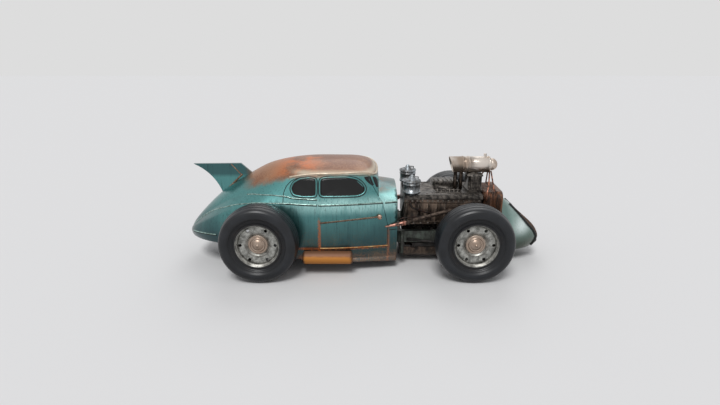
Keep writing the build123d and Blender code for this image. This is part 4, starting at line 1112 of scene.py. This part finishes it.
class HOTROD_OT_seats(bpy.types.Operator):
    """Pleated bench cushion and back"""

    bl_idname = "hotrod.seats"
    bl_label = "Seats"

    # Columns: node, centre, half sizes, lean
    pads = [
        ("seat_cushion", (-0.446, 0, 0.281), (0.180, 0.466, 0.098), 0.0),
        ("seat_back", (-0.702, 0, 0.512), (0.068, 0.466, 0.330), 0.07),
    ]
    # Exponents: the lower, the squarer
    end_round = 0.22
    width_round = 0.5
    section_round = 0.4
    channel_depth = 0.07
    channel_width = 0.16

    def pad(self, name, centre, half, lean, pleats):
        """A rounded block: along the car the half length times the rounded cosine of the turn, upwards the
        half height times its rounded sine, both drawn in towards the two ends by a rounded cosine, and
        across it the half width times the rounded sine of the way along, with shallow channels at even
        steps, all leaned back by the lean times the height. Rounded means raised to an exponent."""
        end = np.linspace(-np.pi / 2, np.pi / 2, 121)[:, None]
        turn = np.linspace(0, 2 * np.pi, 72, endpoint=False)[None]
        taper = power(np.cos(end), self.end_round)
        y = half[1] * power(np.sin(end), self.width_round) + 0 * turn
        channel = np.abs((y / half[1] * pleats / 2) % 1 - 0.5) * 2
        crown = 1 - self.channel_depth * np.exp(-((1 - channel) / self.channel_width) ** 2)
        z = half[2] * taper * power(np.sin(turn), self.section_round) * crown
        x = half[0] * taper * power(np.cos(turn), self.section_round) * crown
        x = x - lean * (z + half[2])
        return surface(name, np.stack([x + centre[0], y + centre[1], z + centre[2]], axis=-1))

    def execute(self, context):
        pleats = context.scene.hot_rod_sizes.pleats
        hide = leather("worn_leather", srgb(112, 70, 48), srgb(64, 38, 28))
        for node, centre, half, lean in self.pads:
            piece = self.pad(f"{node}.leather", centre, half, lean, pleats)
            finished(piece, hide, "root", "leather", [node])
        return {"FINISHED"}


class HOTROD_OT_stage(bpy.types.Operator):
    """Camera, soft lamps, pale floor and background"""

    bl_idname = "hotrod.stage"
    bl_label = "Stage"

    camera_place = (-0.0587, -5.5319, 2.3796)
    camera_aim = (-0.0587, 0, 0.6354)
    sensor_width = 36
    lamp_aim = (0, 0, 0.5)
    # Columns: name, place, angle in degrees, share of the lamp strength
    lamps = [("main_lamp", (-0.8, -3.6, 6.0), 22, 1.0), ("back_lamp", (0.6, 4.4, 5.0), 40, 1 / 3)]
    world_blue = 1.03
    floor_half = 40
    floor_points = 9
    floor_bounce = (0.3, 0.3, 0.3, 1)

    def aimed(self, name, data, place, aim):
        """Put a camera or a lamp in its place, looking at the aim."""
        holder = bpy.data.objects.new(name, data)
        holder.location = place
        holder.rotation_euler = (Vector(aim) - Vector(place)).to_track_quat("-Z", "Y").to_euler()
        bpy.context.scene.collection.objects.link(holder)
        return holder

    def seen_or_bounced(self, tree, bounced, seen, socket):
        """One colour for the light that bounces, and another for what the camera, a reflection or a look
        through glass sees."""
        nodes, links = tree.nodes, tree.links
        light_path = nodes.new("ShaderNodeLightPath")
        total = light_path.outputs["Is Camera Ray"]
        for name in ("Is Glossy Ray", "Is Transmission Ray"):
            larger = nodes.new("ShaderNodeMath")
            larger.operation = "MAXIMUM"
            links.new(total, larger.inputs[0])
            links.new(light_path.outputs[name], larger.inputs[1])
            total = larger.outputs[0]
        mixed = nodes.new("ShaderNodeMix")
        mixed.data_type = "RGBA"
        links.new(total, mixed.inputs[0])
        mixed.inputs[6].default_value = bounced
        mixed.inputs[7].default_value = seen
        links.new(mixed.outputs[2], socket)

    def execute(self, context):
        stage = context.scene.hot_rod_stage
        scene = context.scene
        view = bpy.data.cameras.new("camera")
        view.lens = stage.lens
        view.sensor_width = self.sensor_width
        scene.camera = self.aimed("camera", view, self.camera_place, self.camera_aim)
        scene.view_settings.view_transform = "Standard"
        for name, place, spread, strength_share in self.lamps:
            lamp = bpy.data.lights.new(name, "SUN")
            lamp.energy = stage.lamp * strength_share
            lamp.angle = math.radians(spread)
            self.aimed(name, lamp, place, self.lamp_aim)
        world = bpy.data.worlds.new("studio")
        scene.world = world
        world.use_nodes = True
        light = (stage.world, stage.world, stage.world * self.world_blue, 1)
        background = world.node_tree.nodes["Background"]
        self.seen_or_bounced(world.node_tree, light, stage.floor, background.inputs["Color"])
        span = np.linspace(-self.floor_half, self.floor_half, self.floor_points)
        x, y = np.meshgrid(span, span, indexing="ij")
        quads = grid_quads(self.floor_points, self.floor_points, wrap_columns=False)
        floor = solid_from("floor", np.stack([x, y, 0 * x], axis=-1), quads)
        material = bpy.data.materials.new("pale_floor")
        material.use_nodes = True
        shader = material.node_tree.nodes["Principled BSDF"]
        grey = (stage.floor_colour, stage.floor_colour, stage.floor_colour, 1)
        self.seen_or_bounced(material.node_tree, self.floor_bounce, grey, shader.inputs["Base Color"])
        shader.inputs["Roughness"].default_value = 1.0
        shader.inputs["Specular IOR Level"].default_value = 0.0
        floor.data.materials.append(material)
        return {"FINISHED"}


class HOTROD_PT_panel(bpy.types.Panel):
    """Shows a button for each step that builds the hot rod, and the hot rod's settings"""

    bl_idname = "HOTROD_PT_panel"
    bl_label = "Hot rod"
    bl_space_type = "VIEW_3D"
    bl_region_type = "UI"
    bl_category = "Hot rod"

    def draw(self, context):
        for operator in OPERATORS:
            self.layout.operator(operator.bl_idname)
        for key, group in GROUPS.items():
            for name in group.__annotations__:
                self.layout.prop(getattr(context.scene, key), name)


GROUPS = {
    "hot_rod_colours": HotRodColours,
    "hot_rod_sizes": HotRodSizes,
    "hot_rod_stage": HotRodStage,
}
OPERATORS = [
    HOTROD_OT_stage, HOTROD_OT_shell, HOTROD_OT_cabin, HOTROD_OT_engine, HOTROD_OT_wheels, HOTROD_OT_tyres,
    HOTROD_OT_mouldings, HOTROD_OT_windows, HOTROD_OT_grille_edge, HOTROD_OT_fasteners, HOTROD_OT_seats,
]


def register():
    for name, group in GROUPS.items():
        bpy.utils.register_class(group)
        setattr(bpy.types.Scene, name, bpy.props.PointerProperty(type=group))
    for made in OPERATORS + [HOTROD_PT_panel]:
        bpy.utils.register_class(made)


def unregister():
    for made in reversed(OPERATORS + [HOTROD_PT_panel]):
        bpy.utils.unregister_class(made)
    for name, group in reversed(GROUPS.items()):
        delattr(bpy.types.Scene, name)
        bpy.utils.unregister_class(group)


def main():
    register()
    for operator in OPERATORS:
        category, call = operator.bl_idname.split(".")
        getattr(getattr(bpy.ops, category), call)()


if __name__ == "__main__":
    main()
